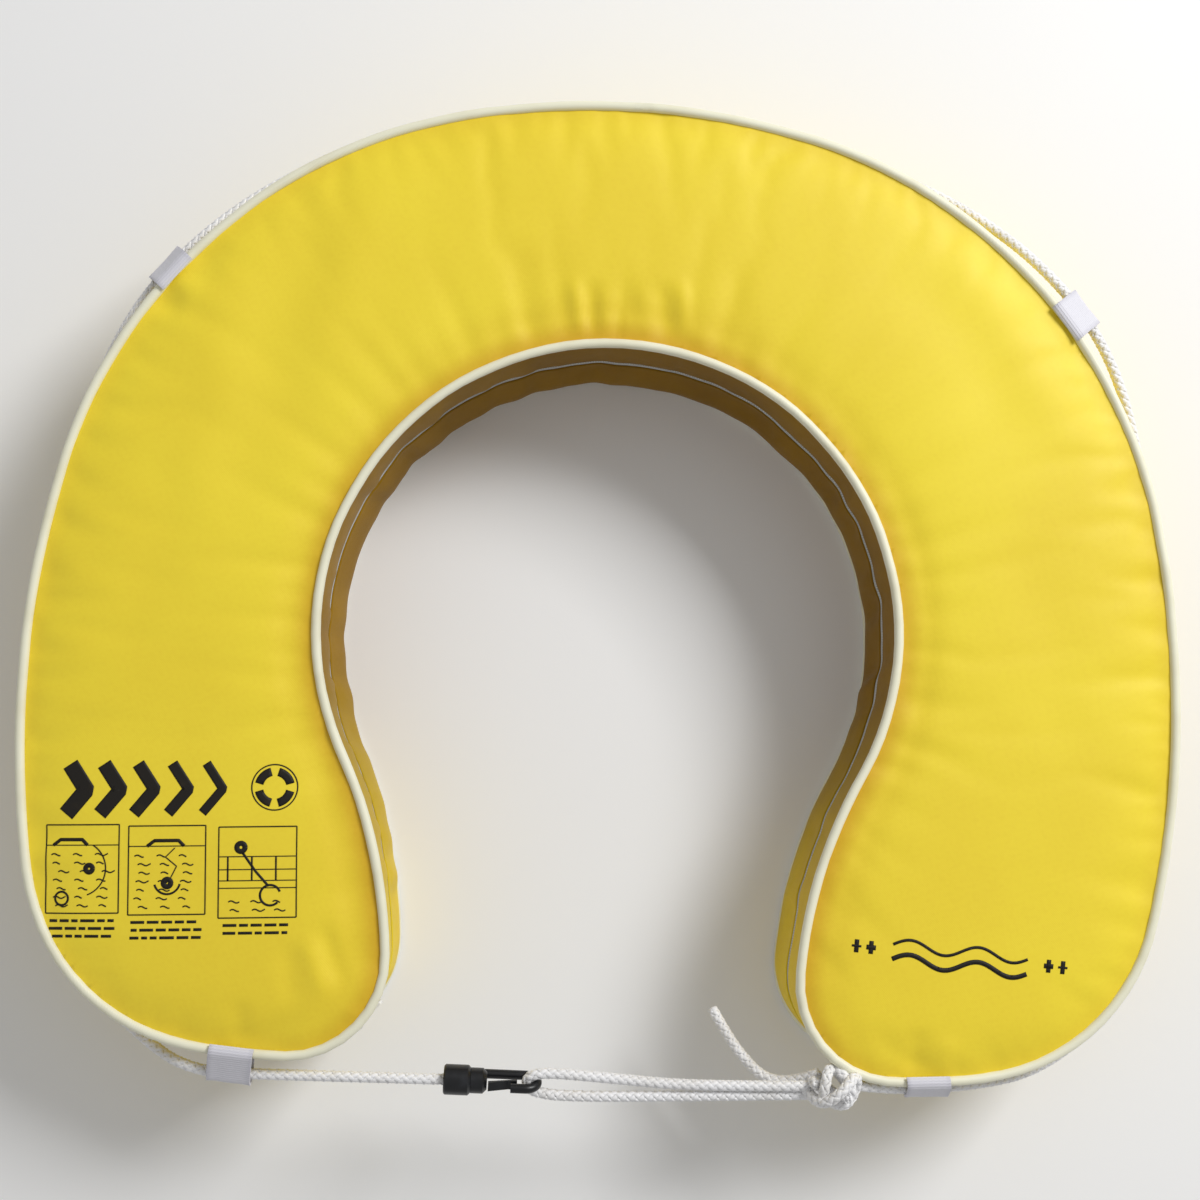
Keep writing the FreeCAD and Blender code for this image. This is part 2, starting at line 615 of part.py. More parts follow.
# ---------------------------------------------------------------- checks and files
doc.recompute()
failed = [o.Name for o in doc.Objects if "Invalid" in o.State or "Error" in o.State]
if failed:
    raise SystemExit(f"these objects failed: {failed}")
os.makedirs("parts", exist_ok=True)
for made in PIECES:
    shape = made.Shape
    if shape.isNull() or not shape.isValid():
        raise SystemExit(f"{made.Label} has no valid shape")
    shape.exportStep(f"parts/{made.Label}.step")
    box = shape.BoundBox
    print(f"{made.Label}: {len(shape.Solids)} solid, {shape.Volume / 1000:.2f} cm3,"
          f" x {box.XMin:.1f}..{box.XMax:.1f} y {box.YMin:.1f}..{box.YMax:.1f}"
          f" z {box.ZMin:.1f}..{box.ZMax:.1f}")
gate_pivot = HOOK_FRAME.multVec(Vector(dim("gate_start") + 0.6, gate_root - 0.9, 0))
print(f"slider turns about {LEFT_TIP.x:.2f}, {LEFT_TIP.y:.2f}; pull pivot {PIVOT};"
      f" gate pivot {gate_pivot}, axis {HOOK_FRAME.Rotation.multVec(Vector(0, 0, 1))}")
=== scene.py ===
# %% [markdown]
# # A horseshoe lifebuoy
# The real thing is a soft horseshoe: two slabs of closed-cell foam in a zipped cover of yellow
# polyester, piped in cream along every seam.  Four webbing tabs hold a plaited grab rope, and a
# snap hook in a rope loop closes the gap between the arms.  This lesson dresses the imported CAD
# frame piece by piece, in metres and in the frame's own coordinates, so nothing is fitted: the
# seams come from the same arcs as the CAD outline, and the ropes from the same route points.
# %% Load the frame
import json
import math

import bpy
import numpy as np
from mathutils import Matrix, Vector
from mathutils.kdtree import KDTree

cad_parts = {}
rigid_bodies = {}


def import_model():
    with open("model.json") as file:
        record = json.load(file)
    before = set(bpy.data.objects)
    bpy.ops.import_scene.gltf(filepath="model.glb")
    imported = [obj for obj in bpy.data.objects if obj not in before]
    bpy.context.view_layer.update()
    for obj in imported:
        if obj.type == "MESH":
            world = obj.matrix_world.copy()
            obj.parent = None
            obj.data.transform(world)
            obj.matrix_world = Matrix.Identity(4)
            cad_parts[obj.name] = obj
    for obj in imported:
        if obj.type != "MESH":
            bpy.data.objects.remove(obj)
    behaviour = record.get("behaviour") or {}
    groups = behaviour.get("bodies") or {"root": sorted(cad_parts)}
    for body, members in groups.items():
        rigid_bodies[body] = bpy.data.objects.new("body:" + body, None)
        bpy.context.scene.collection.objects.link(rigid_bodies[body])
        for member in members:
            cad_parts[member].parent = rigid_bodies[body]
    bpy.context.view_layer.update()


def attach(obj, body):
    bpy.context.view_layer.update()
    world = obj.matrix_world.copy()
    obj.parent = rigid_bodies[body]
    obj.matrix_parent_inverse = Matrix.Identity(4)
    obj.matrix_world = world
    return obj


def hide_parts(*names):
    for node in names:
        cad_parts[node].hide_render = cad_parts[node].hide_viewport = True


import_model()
MM = 0.001
bpy.context.scene.view_settings.view_transform = "Standard"

# %% [markdown]
# The camera stands almost straight above the buoy, one metre over the floor that it lies on.
# Being so near, it looks down into the horseshoe and sees the inner wall all round.  An aim
# point and an up direction say more than three angles would, so the turn is worked out from them.
# %% Camera
CAMERA_AT = Vector((-0.0352, -0.0769, 1.0))
AIM_AT = Vector((-0.0061, -0.0036, 0.1))
PICTURE_UP = Vector((-0.0483, 0.9988, 0.0))

camera_data = bpy.data.cameras.new("camera")
camera_data.sensor_width = 36
camera_data.lens = 48.6
camera = bpy.data.objects.new("camera", camera_data)
bpy.context.collection.objects.link(camera)
back = (CAMERA_AT - AIM_AT).normalized()
across = PICTURE_UP.cross(back).normalized()
upward = back.cross(across)
turn = Matrix((across, upward, back)).transposed().to_4x4()
camera.matrix_world = Matrix.Translation(CAMERA_AT) @ turn
bpy.context.scene.camera = camera
print("camera looks down on", tuple(round(v, 3) for v in AIM_AT))

# %% [markdown]
# A plain floor and two soft lights.  The large one stands high at the right, so that the cloth's
# crowned edges turn darker towards the arch and the left arm, and a weak one fills from the left.
# %% Floor and lights
bpy.ops.mesh.primitive_plane_add(size=40, location=(0, 0, -0.0005))
floor = bpy.context.object
floor.name = "floor"


def softbox(name, place, aim, size, power):
    """A square area light that faces a point."""
    data = bpy.data.lights.new(name, "AREA")
    data.size = size
    data.energy = power
    light = bpy.data.objects.new(name, data)
    light.location = place
    light.rotation_euler = (Vector(aim) - Vector(place)).to_track_quat("-Z", "Y").to_euler()
    bpy.context.collection.objects.link(light)


softbox("key", (1.6, 1.4, 1.9), (0.1, 0, 0.05), 1.0, 60)
softbox("fill", (-1.4, -0.6, 1.6), (0, 0, 0.05), 1.6, 1.5)
world = bpy.data.worlds.new("studio")
world.use_nodes = True
world.node_tree.nodes["Background"].inputs["Color"].default_value = (1, 1, 1, 1)
world.node_tree.nodes["Background"].inputs["Strength"].default_value = 0.38
bpy.context.scene.world = world


# %% [markdown]
# ## Shader maths
# A finish is easier to read as arithmetic than as a drawing of nodes.  `Value` wraps one socket and
# gives it Python's operators; each operator adds the Math node that it stands for.  `Finish` holds
# the material and adds every other node through one method.
# %% Shader helpers
class Value:
    """One socket of a finish, with arithmetic."""

    def __init__(self, finish, socket):
        self.finish, self.socket = finish, socket

    def maths(self, operation, first, second=0.0):
        return self.finish.node("ShaderNodeMath", {"operation": operation}, {0: first, 1: second})

    def __add__(self, other):
        return self.maths("ADD", self, other)

    def __sub__(self, other):
        return self.maths("SUBTRACT", self, other)

    def __rsub__(self, other):
        return self.maths("SUBTRACT", other, self)

    def __mul__(self, other):
        return self.maths("MULTIPLY", self, other)

    def __truediv__(self, other):
        return self.maths("DIVIDE", self, other)

    __radd__, __rmul__ = __add__, __mul__

    def sine(self):
        return self.maths("SINE", self)

    def size(self):
        return self.maths("ABSOLUTE", self)

    def rises(self, low, high):
        """0 below one value, 1 above the other, and smooth between."""
        return self.finish.node("ShaderNodeMapRange", {"interpolation_type": "SMOOTHSTEP"},
                                {"Value": self, "From Min": low, "From Max": high})


class Finish:
    """A material in the making."""

    def __init__(self, name, **constants):
        self.material = bpy.data.materials.new(name)
        self.material.use_nodes = True
        self.tree = self.material.node_tree
        self.shader = self.tree.nodes["Principled BSDF"]
        for key, value in constants.items():
            self.shader.inputs[key.replace("_", " ")].default_value = value

    def node(self, kind, settings=None, inputs=None, output=0):
        made = self.tree.nodes.new(kind)
        for key, value in (settings or {}).items():
            setattr(made, key, value)
        for key, value in (inputs or {}).items():
            if isinstance(value, Value):
                self.tree.links.new(value.socket, made.inputs[key])
            else:
                made.inputs[key].default_value = value
        return Value(self, made.outputs[output])

    def place(self):
        """The point on the piece, in metres."""
        return self.node("ShaderNodeTexCoord", output="Object")

    def axes(self, vector):
        """The first two numbers of a vector."""
        return [self.node("ShaderNodeSeparateXYZ", None, {0: vector}, output=i) for i in range(2)]

    def unwrapped(self):
        """Metres along the cloth and across it."""
        return self.axes(self.node("ShaderNodeUVMap", {"uv_map": "UVMap"}))

    def noise(self, scale, detail=2.0, vector=None, roughness=0.5):
        return self.node("ShaderNodeTexNoise", None, {
            "Vector": vector or self.place(), "Scale": scale, "Detail": detail,
            "Roughness": roughness})

    def mark(self, name):
        """A number kept on the mesh's points."""
        return self.node("ShaderNodeAttribute", {"attribute_name": name}, output="Fac")

    def mix(self, factor, first, second):
        """From one colour to the other."""
        return self.node("ShaderNodeMix", {"data_type": "RGBA"}, {0: factor, 6: first, 7: second},
                         output=2)

    def feed(self, **values):
        for key, value in values.items():
            self.tree.links.new(value.socket, self.shader.inputs[key.replace("_", " ")])
        return self

    def relief(self, height, depth, strength=1.0):
        """Height, from 0 to 1, felt by the light as that many metres."""
        bump = self.node("ShaderNodeBump", None, {"Height": height, "Distance": depth,
                                                  "Strength": strength})
        return self.feed(Normal=bump)


def linear(red, green, blue):
    """A colour given as 0-255 steps of an ordinary palette, in the shader's linear numbers."""
    steps = [((v / 255 + 0.055) / 1.055) ** 2.4 if v > 10 else v / 255 / 12.92
             for v in (red, green, blue)]
    return (*steps, 1.0)


print("shader helpers ready")

# %% [markdown]
# ## Cords first
# Three ropes leave the knot and the hook: the long grab rope that runs round the outside through
# four tabs, the doubled loop in the hook, and the loose tail.  Each is a NURBS line through the
# route's listed points, which rounds them off as a real rope does.
# %% Routes
GRAB_ROUTE = [
    (-70, -272, 84), (-170, -272.7, 86.8), (-217, -273, 88), (-249, -256, 79),
    (-292, -221, 66), (-318, -168, 57),
    (-325, -118, 52), (-327, -39, 50), (-319, 37, 53), (-307, 95, 66), (-278, 152, 86),
    (-241, 197, 87), (-194, 238, 77), (-133, 269, 62), (-64, 284, 55), (3, 289, 53),
    (70, 284, 56), (140, 268, 64), (198, 240, 78), (246, 202, 88), (284, 155, 87),
    (309, 96, 68), (320, 36, 55), (327, -40, 51), (325, -116, 53), (317, -170, 60),
    (295, -224, 70), (255, -254, 81), (214, -263, 88), (164, -266.5, 90.5), (146, -264, 92)]
LOOP_ROUTE = [
    (123, -266, 91), (61, -270, 86), (8, -267, 86), (-20, -265.5, 87), (-29.7, -266.8, 87),
    (-33.2, -269.9, 85.2), (-33.2, -274.1, 82.8), (-29.7, -277.2, 81), (-14, -279.5, 80.5),
    (48, -276.4, 83), (128, -271, 88)]
TAIL_ROUTE = [
    (128, -259, 89.5), (117, -266, 80), (101, -267, 75), (88, -256, 71), (78, -243, 67),
    (70.5, -231, 63)]


def rope_line(name, route):
    """The route's NURBS line: the curve, and points along it."""
    data = bpy.data.curves.new(name, "CURVE")
    data.dimensions = "3D"
    data.resolution_u = 24
    spline = data.splines.new("NURBS")
    spline.points.add(len(route) - 1)
    for point, place in zip(spline.points, route):
        point.co = (*(v * MM for v in place), 1)
    spline.order_u = 3
    spline.use_endpoint_u = True
    curve = bpy.data.objects.new(name, data)
    bpy.context.collection.objects.link(curve)
    bpy.context.view_layer.update()
    depsgraph = bpy.context.evaluated_depsgraph_get()
    mesh = bpy.data.meshes.new_from_object(curve.evaluated_get(depsgraph))
    line = np.array([v.co for v in mesh.vertices])
    bpy.data.meshes.remove(mesh)
    bpy.data.objects.remove(curve)
    return line


def even_steps(line, step):
    """The same line with points an even step apart, and its length."""
    gaps = np.linalg.norm(np.diff(line, axis=0), axis=1)
    line = np.vstack([line[:1], line[1:][gaps > 1e-7]])
    run = np.concatenate([[0], np.cumsum(np.linalg.norm(np.diff(line, axis=0), axis=1))])
    places = np.linspace(0, run[-1], max(2, int(round(run[-1] / step))) + 1)
    return np.column_stack([np.interp(places, run, line[:, i]) for i in range(3)]), run[-1]


def frames_along(points):
    """Two directions across a line at each point, turning with it as little as they can."""
    along = np.gradient(points, axis=0)
    along /= np.linalg.norm(along, axis=1)[:, None]
    first = np.cross(along[0], (0, 0, 1))
    if np.linalg.norm(first) < 0.2:
        first = np.cross(along[0], (0, 1, 0))
    sides = [first / np.linalg.norm(first)]
    for direction in along[1:]:
        side = sides[-1] - direction * np.dot(sides[-1], direction)
        sides.append(side / np.linalg.norm(side))
    sides = np.array(sides)
    return along, sides, np.cross(along, sides)


def sweep(centres, across, outward, half_width, half_height, corners, taper=0):
    """Points and faces of a closed tube with an oval section, its ends capped."""
    angles = np.arange(corners) * math.tau / corners
    scale = np.ones(len(centres))
    if taper:
        scale[:taper] = np.sqrt(np.linspace(0.15, 1, taper))
        scale[-taper:] = scale[:taper][::-1]
    ring = (across[:, None] * (np.cos(angles) * half_width)[None, :, None]
            + outward[:, None] * (np.sin(angles) * half_height)[None, :, None])
    points = (centres[:, None] + ring * scale[:, None, None]).reshape(-1, 3)
    rows, cols = np.arange(len(centres) - 1), np.arange(corners)
    a = (rows[:, None] * corners + cols).ravel()
    b = (rows[:, None] * corners + (cols + 1) % corners).ravel()
    faces = [tuple(f) for f in np.column_stack([a, b, b + corners, a + corners]).tolist()]
    last = (len(centres) - 1) * corners
    faces += [tuple(range(corners))[::-1], tuple(range(last, last + corners))]
    return points, faces


STRAND_PITCH, STRANDS_EACH_WAY = 20 * MM, 4
STRAND_SEAT, STRAND_WEAVE = 2.08 * MM, 0.36 * MM
STRAND_HALF_WIDTH, STRAND_HALF_HEIGHT, CORE_RADIUS = 1.52 * MM, 0.78 * MM, 1.6 * MM


def new_mesh(name, points, faces):
    mesh = bpy.data.meshes.new(name)
    mesh.from_pydata([tuple(p) for p in np.asarray(points).tolist()], [], faces)
    mesh.validate()
    made = bpy.data.objects.new(name, mesh)
    bpy.context.collection.objects.link(made)
    mesh.shade_smooth()
    return made


def belongs(obj, node=None):
    """Fixes a piece to the buoy, and hides the plain node that it takes over."""
    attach(obj, "buoy")
    if node:
        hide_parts(node)


def plait(name, line, step=1.25 * MM, corners=6):
    """A rope of eight strands, four each way, that pass over and under in turn."""
    points, length = even_steps(line, step)
    along, side, up = frames_along(points)
    run = np.linspace(0, length, len(points))
    all_points, all_faces, offset = [], [], 0
    for way in (1, -1):
        for strand in range(STRANDS_EACH_WAY):
            turn = way * math.tau * run / STRAND_PITCH
            turn = turn + math.tau * strand / STRANDS_EACH_WAY
            wave = way * np.cos(STRANDS_EACH_WAY * math.tau * run / STRAND_PITCH)
            outward = side * np.cos(turn)[:, None] + up * np.sin(turn)[:, None]
            centres = points + outward * (STRAND_SEAT + STRAND_WEAVE * wave)[:, None]
            heading = np.gradient(centres, axis=0)
            heading /= np.linalg.norm(heading, axis=1)[:, None]
            across = np.cross(outward, heading)
            across /= np.linalg.norm(across, axis=1)[:, None]
            made, faces = sweep(centres, across, np.cross(heading, across),
                                STRAND_HALF_WIDTH, STRAND_HALF_HEIGHT, corners, 2)
            all_points.append(made)
            all_faces += [tuple(i + offset for i in f) for f in faces]
            offset += len(made)
    core, _ = even_steps(line, 4 * MM)
    _, side, up = frames_along(core)
    made, faces = sweep(core, side, up, CORE_RADIUS, CORE_RADIUS, 8)
    all_points.append(made)
    all_faces += [tuple(i + offset for i in f) for f in faces]
    rope = new_mesh(name, np.vstack(all_points), all_faces)
    print(f"{name}: {length * 1000:.0f} mm, {len(rope.data.polygons)} faces")
    return rope, points


FINE_STEP = 1.0 * MM
grab_rope, grab_line = plait("rope_grab", rope_line("grab", GRAB_ROUTE))
loop_rope, loop_line = plait("rope_hook_loop", rope_line("loop", LOOP_ROUTE), FINE_STEP)
tail_rope, tail_line = plait("rope_loose_tail", rope_line("tail", TAIL_ROUTE), FINE_STEP)

# %% [markdown]
# A cut rope of nylon is sealed with a flame, which leaves a smooth bead on its end.
# %% Sealed end
BEAD_RADIUS, BEAD_FLATTENING, BEAD_SET_BACK = 2.95 * MM, 0.45, 0.6 * MM
bpy.ops.mesh.primitive_uv_sphere_add(segments=20, ring_count=12, radius=BEAD_RADIUS)
sealed_end = bpy.context.object
sealed_end.name = "rope_sealed_end"
bead = np.array([v.co for v in sealed_end.data.vertices])
bead *= 1 + 0.06 * np.sin(bead[:, :1] * 2600) * np.cos(bead[:, 1:2] * 2100)
way = tail_line[-1] - tail_line[-3]
way /= np.linalg.norm(way)
bead -= np.outer(bead @ way, way) * BEAD_FLATTENING
bead += tail_line[-1] - way * BEAD_SET_BACK
sealed_end.data.vertices.foreach_set("co", bead.ravel())
sealed_end.data.update()
sealed_end.data.shade_smooth()
belongs(sealed_end)
print("tail end sealed")

# %% [markdown]
# The knot is drawn up tight where the loop's two ends, the grab rope and the tail meet.  It is tied
# here as the real one is, with turns of the same plaited rope round the bundle and one turn that
# crosses them in front.
# %% The knot
KNOT_TURNS = [
    (142, -270, 101), (145, -270, 95), (144, -266, 91), (143, -263, 90), (140, -260, 89),
    (137, -256, 91), (132, -255, 97), (130, -261, 102), (129, -268, 101), (130, -271, 98),
    (130, -273, 95), (130, -273, 91), (130, -270, 86), (132, -262, 86), (134, -257, 91),
    (138, -256, 96), (141, -259, 99), (143, -262, 100), (145, -266, 100), (144, -270, 96),
    (140, -271, 90), (134, -268, 87), (129, -265, 88), (125, -263, 91), (124, -263, 95),
    (126, -264, 99)]
KNOT_CROSSING = [
    (121, -268, 89), (125, -273, 97), (131, -272, 105), (139, -264, 108), (146, -257, 102),
    (149, -262, 94), (147, -271, 91), (142, -277, 91), (136, -275, 88)]
knot, _ = plait("rope_knot", rope_line("turns", KNOT_TURNS), FINE_STEP)
knot_crossing, _ = plait("knot_crossing", rope_line("crossing", KNOT_CROSSING), FINE_STEP)
bpy.ops.object.select_all(action="DESELECT")
knot.select_set(True)
knot_crossing.select_set(True)
bpy.context.view_layer.objects.active = knot
bpy.ops.object.join()
print("knot:", len(knot.data.polygons), "faces")

ROPE_DIAMETER = 6 * MM
for rope, node in ((grab_rope, "grab_rope"), (loop_rope, "rope_loop"), (tail_rope, "rope_tail"),
                   (knot, "loop_knot")):
    belongs(rope, node)


# %% [markdown]
# ## The seam line
# Every cloth edge follows one closed line of tangent arcs.  It is walked here from the middle of
# the arch, down the right arm's inner side, round its tip, up the outside to the crown, and then
# mirrored.  Distance along it is the natural coordinate for walls, piping, zip and stitches.
# %% Walk the seam
ARCH_TOP_Y = 143 * MM
# (radius in millimetres, turn in degrees); a negative radius turns to the right
ARCS = [(-163.0, 117.3), (278.0, 23.7), (52.5, 94.1), (374.0, 7.6), (112.5, 70.7), (543.0, 23.6),
        (283.5, 64.0)]
THICKNESS, PIPING_RADIUS, PIPING_HEIGHT = 100 * MM, 2.75 * MM, 3 * MM
MIDDLE = THICKNESS / 2
SEAM_STEP = 0.5 * MM


def walk_seam():
    """Places and headings along the seam, half a millimetre apart; the way out is to the right."""
    place, heading, half = np.array([0.0, ARCH_TOP_Y]), 0.0, []
    crown = 180.0 + sum(turn if radius < 0 else -turn for radius, turn in ARCS)
    for radius, turn in ARCS + [(None, crown)]:
        if radius is None:
            radius = place[0] / math.sin(heading) / MM
        radius, turn = radius * MM, math.radians(turn) * (1 if radius > 0 else -1)
        centre = place + radius * np.array([-math.sin(heading), math.cos(heading)])
        steps = max(2, int(abs(radius * turn) / SEAM_STEP))
        for share in np.linspace(0, 1, steps + 1)[:-1]:
            now = heading + turn * share
            half.append((*(centre + radius * np.array([math.sin(now), -math.cos(now)])), now))
        heading += turn
        place = centre + radius * np.array([math.sin(heading), -math.cos(heading)])
    half.append((*place, heading))
    right = np.array(half)
    left = right[::-1][1:-1] * (-1, 1, -1) + (0, 0, math.tau)
    whole = np.vstack([right, left])
    closed = np.vstack([whole, whole[:1] + (0, 0, math.tau)])
    run = np.concatenate([[0], np.cumsum(np.linalg.norm(np.diff(closed[:, :2], axis=0), axis=1))])
    return closed, run


seam, seam_run = walk_seam()
SEAM_LENGTH = seam_run[-1]


def seam_at(run):
    """Places on the seam and the ways out of the cloth, for distances along it."""
    run = np.mod(np.asarray(run, float), SEAM_LENGTH)
    place = np.column_stack([np.interp(run, seam_run, seam[:, i]) for i in (0, 1)])
    heading = np.interp(run, seam_run, seam[:, 2])
    return place, np.column_stack([np.sin(heading), -np.cos(heading)])


seam_tree = KDTree(len(seam) - 1)
for index, (x, y, _) in enumerate(seam[:-1]):
    seam_tree.insert((x, y, 0), index)
seam_tree.balance()


def seam_distance(points):
    """How far inside the seam each point is, and its distance along the seam."""
    found = [seam_tree.find((x, y, 0))[1] for x, y in points[:, :2]]
    place, out = seam_at(seam_run[found])
    return -np.sum((points[:, :2] - place) * out, axis=1), seam_run[found]


INNER_WALL_END_Y = -256 * MM
inner_limit = next(run for (x, y, _), run in zip(seam, seam_run) if y < INNER_WALL_END_Y)
print(f"seam {SEAM_LENGTH * 1000:.0f} mm, inner wall to {inner_limit * 1000:.0f} mm each way")


def smooth_noise(places, spacing, seed):
    """A wave from -1 to 1 along a line, with a random height at every spacing."""
    heights = np.random.default_rng(seed).uniform(-1, 1, 4096)
    at = np.asarray(places) / spacing + 2000
    whole = np.floor(at).astype(int)
    part = at - whole
    part = part * part * (3 - 2 * part)
    return heights[whole % 4096] * (1 - part) + heights[(whole + 1) % 4096] * part


def smooth_step(value, low, high):
    share = np.clip((value - low) / (high - low), 0, 1)
    return share * share * (3 - 2 * share)


# %% [markdown]
# ## The padded cover
# The front and back panels are soft: foam pushes them up, and the seams hold them down.  So the
# whole buoy is first a closed form, meshed evenly, its seams pinned, and blown up a little as cloth
# with slightly more cloth than it needs.  The two panels are then cut from it along the seams.
# %% Stuff the form
VOXEL, CLOTH = 5 * MM, 0.9 * MM
SHARP = 1.0  # edges that turn by more radians than this are rounded over
LOW_SEAM, HIGH_SEAM = PIPING_HEIGHT, THICKNESS - PIPING_HEIGHT
PANEL_RISE, PANEL_SINK = 5.0 * MM, 1.2 * MM


def only(obj):
    """Makes one object the one that operators act on."""
    bpy.ops.object.select_all(action="DESELECT")
    obj.select_set(True)
    bpy.context.view_layer.objects.active = obj
    return obj


def edit(obj, *steps):
    """Runs operators on all of a mesh in edit mode."""
    only(obj)
    bpy.ops.object.mode_set(mode="EDIT")
    bpy.ops.mesh.select_all(action="SELECT")
    for step in steps:
        step()
    bpy.ops.object.mode_set(mode="OBJECT")
    return obj


def modify(obj, kind, **settings):
    """Adds a modifier and applies it."""
    only(obj)
    modifier = obj.modifiers.new(kind.lower(), kind)
    for key, value in settings.items():
        setattr(modifier, key, value)
    bpy.ops.object.modifier_apply(modifier=modifier.name)
    return obj


def points_of(obj):
    flat = np.empty(len(obj.data.vertices) * 3)
    obj.data.vertices.foreach_get("co", flat)
    return flat.reshape(-1, 3)


def move_points(obj, points):
    obj.data.vertices.foreach_set("co", np.asarray(points, float).ravel())
    obj.data.update()


def face_out(obj):
    """Turns every face of a closed mesh to the outside."""
    return edit(obj, lambda: bpy.ops.mesh.normals_make_consistent(inside=False))


def note(obj, name, values):
    """Keeps a number on each point, for the finishes to read."""
    obj.data.attributes.new(name, "FLOAT", "POINT").data.foreach_set("value", values)


def seam_block(name, inset, low, high, spacing=4 * MM):
    """The seam's shape, a little smaller, as a solid between two heights."""
    place, out = seam_at(np.arange(0, SEAM_LENGTH, spacing))
    ring = np.column_stack([place - out * inset, np.full(len(place), low)])
    block = new_mesh(name, ring, [tuple(range(len(ring)))])
    return edit(block,
                lambda: bpy.ops.mesh.extrude_region_move(
                    TRANSFORM_OT_translate={"value": (0, 0, high - low)}),
                lambda: bpy.ops.mesh.select_all(action="SELECT"),
                lambda: bpy.ops.mesh.normals_make_consistent(inside=False))


form = seam_block("cover_form", 0.3 * MM, LOW_SEAM, HIGH_SEAM)
modify(form, "REMESH", mode="VOXEL", voxel_size=VOXEL)
start = points_of(form)
inside, _ = seam_distance(start)
at_height = (start[:, 2] < LOW_SEAM + 3 * MM) | (start[:, 2] > HIGH_SEAM - 3 * MM)
near_seam = (inside < 3.6 * MM) & at_height
pinned = form.vertex_groups.new(name="seams")
pinned.add([int(i) for i in np.flatnonzero(near_seam)], 1.0, "REPLACE")
print(f"form: {len(start)} points, {near_seam.sum()} held by the seams")

# %% Blow it up as cloth
only(form)
cloth = form.modifiers.new("stuffing", "CLOTH")
cloth.settings.quality = 4
cloth.settings.mass = 0.3
cloth.settings.tension_stiffness = cloth.settings.compression_stiffness = 12
cloth.settings.bending_stiffness = 0.8
cloth.settings.use_pressure = True
cloth.settings.uniform_pressure_force = 4
cloth.settings.shrink_min = -0.007
cloth.settings.vertex_group_mass = "seams"
cloth.settings.effector_weights.gravity = 0
cloth.collision_settings.use_collision = False
for number in range(1, 21):
    bpy.context.scene.frame_set(number)
bpy.ops.object.modifier_apply(modifier=cloth.name)
blown = points_of(form)
print("cloth moved", round(float(np.abs(blown - start).max()) * 1000, 1), "mm at most")

# %% [markdown]
# The panel keeps the shape that the cloth found, but no higher than foam would push it.  A few
# long creases are laid in where the cover is pulled round the arch and over the shoulders,
# and short puckers run in from the seam, where the stitching gathers the cloth.
# %% Creases and puckers
# (start, end, half width, height) in millimetres; a negative height is a fold that sinks
CREASES = [
    ((-29, 178), (-25, 146), 5.0, 1.5), ((-20, 176), (-17, 148), 5.5, -1.6),
    ((-11, 172), (-10, 150), 5.0, 0.7),
    ((21, 178), (23, 147), 5.5, -1.6), ((31, 179), (33, 148), 5.0, 1.4),
    ((-4, 165), (8, 165), 9.0, -0.8),
    ((-62, 196), (-50, 138), 8.0, -0.8), ((66, 192), (58, 136), 8.0, -0.7),
    ((-176, 222), (-205, 30), 24.0, -1.6), ((-210, 190), (-246, 10), 20.0, 1.1),
    ((-140, 232), (-168, 120), 16.0, 0.9), ((-232, 120), (-262, -40), 16.0, -0.9),
    ((150, 214), (236, 96), 22.0, -0.9), ((190, 214), (262, 92), 16.0, 0.7),
    ((236, 40), (262, -80), 18.0, -0.6),
    ((-150, -190), (-134, -222), 5.0, -1.3), ((-158, -196), (-147, -228), 5.0, 1.0),
    ((-166, -200), (-160, -232), 6.0, -0.8),
    ((-276, 160), (-250, 146), 7.0, -1.8), ((-270, 172), (-240, 160), 6.0, 1.2),
    ((-262, 186), (-226, 178), 8.0, -1.2),
    ((281, 156), (256, 148), 7.0, -1.3), ((272, 172), (248, 164), 6.0, 0.9),
    ((182, -254), (180, -232), 6.0, -1.2), ((196, -256), (196, -236), 6.0, 0.9),
    ((-192, -256), (-190, -232), 6.0, -1.0),
]


def crease_rise(points):
    """How far the listed folds lift or sink each point."""
    rise = np.zeros(len(points))
    for (x0, y0), (x1, y1), width, height in CREASES:
        first, way = np.array([x0, y0]) * MM, np.array([x1 - x0, y1 - y0]) * MM
        length = np.linalg.norm(way)
        along = (points[:, :2] - first) @ way / length ** 2
        off = (points[:, :2] - first) @ np.array([-way[1], way[0]]) / length
        bend = smooth_noise(along * length, 30 * MM, int(x0 * 7 + y0) % 997 + 5) * width * 0.35 * MM
        ends = smooth_step(along, -0.15, 0.3) * smooth_step(1.15 - along, 0, 0.45)
        rise += height * MM * ends * np.exp(-((off + bend) / (width * MM)) ** 2)
    return rise


def pucker_rise(inside, run):
    """Small gathers that run in from the stitching, and the soft dip beside the piping."""
    arch = smooth_step(inner_limit - np.minimum(run, SEAM_LENGTH - run), -40 * MM, 60 * MM)
    short = smooth_noise(run, 7 * MM, 21) * np.exp(-((inside - 5 * MM) / (6 * MM)) ** 2)
    longer = smooth_noise(run + inside * 0.4, 17 * MM, 22)
    longer = longer * np.exp(-((inside - 10 * MM) / (9 * MM)) ** 2)
    dip = np.exp(-((inside - 17 * MM) / (6 * MM)) ** 2)
    dip = dip * (0.6 + 0.5 * smooth_noise(run, 50 * MM, 23))
    return ((0.16 + 0.12 * arch) * short + (0.22 + 0.38 * arch) * longer - 0.75 * arch * dip) * MM


def open_edge(mesh):
    """The points on a mesh's open edge."""
    uses = {}
    for face in mesh.polygons:
        for key in face.edge_keys:
            uses[key] = uses.get(key, 0) + 1
    return sorted({i for key, count in uses.items() if count == 1 for i in key})


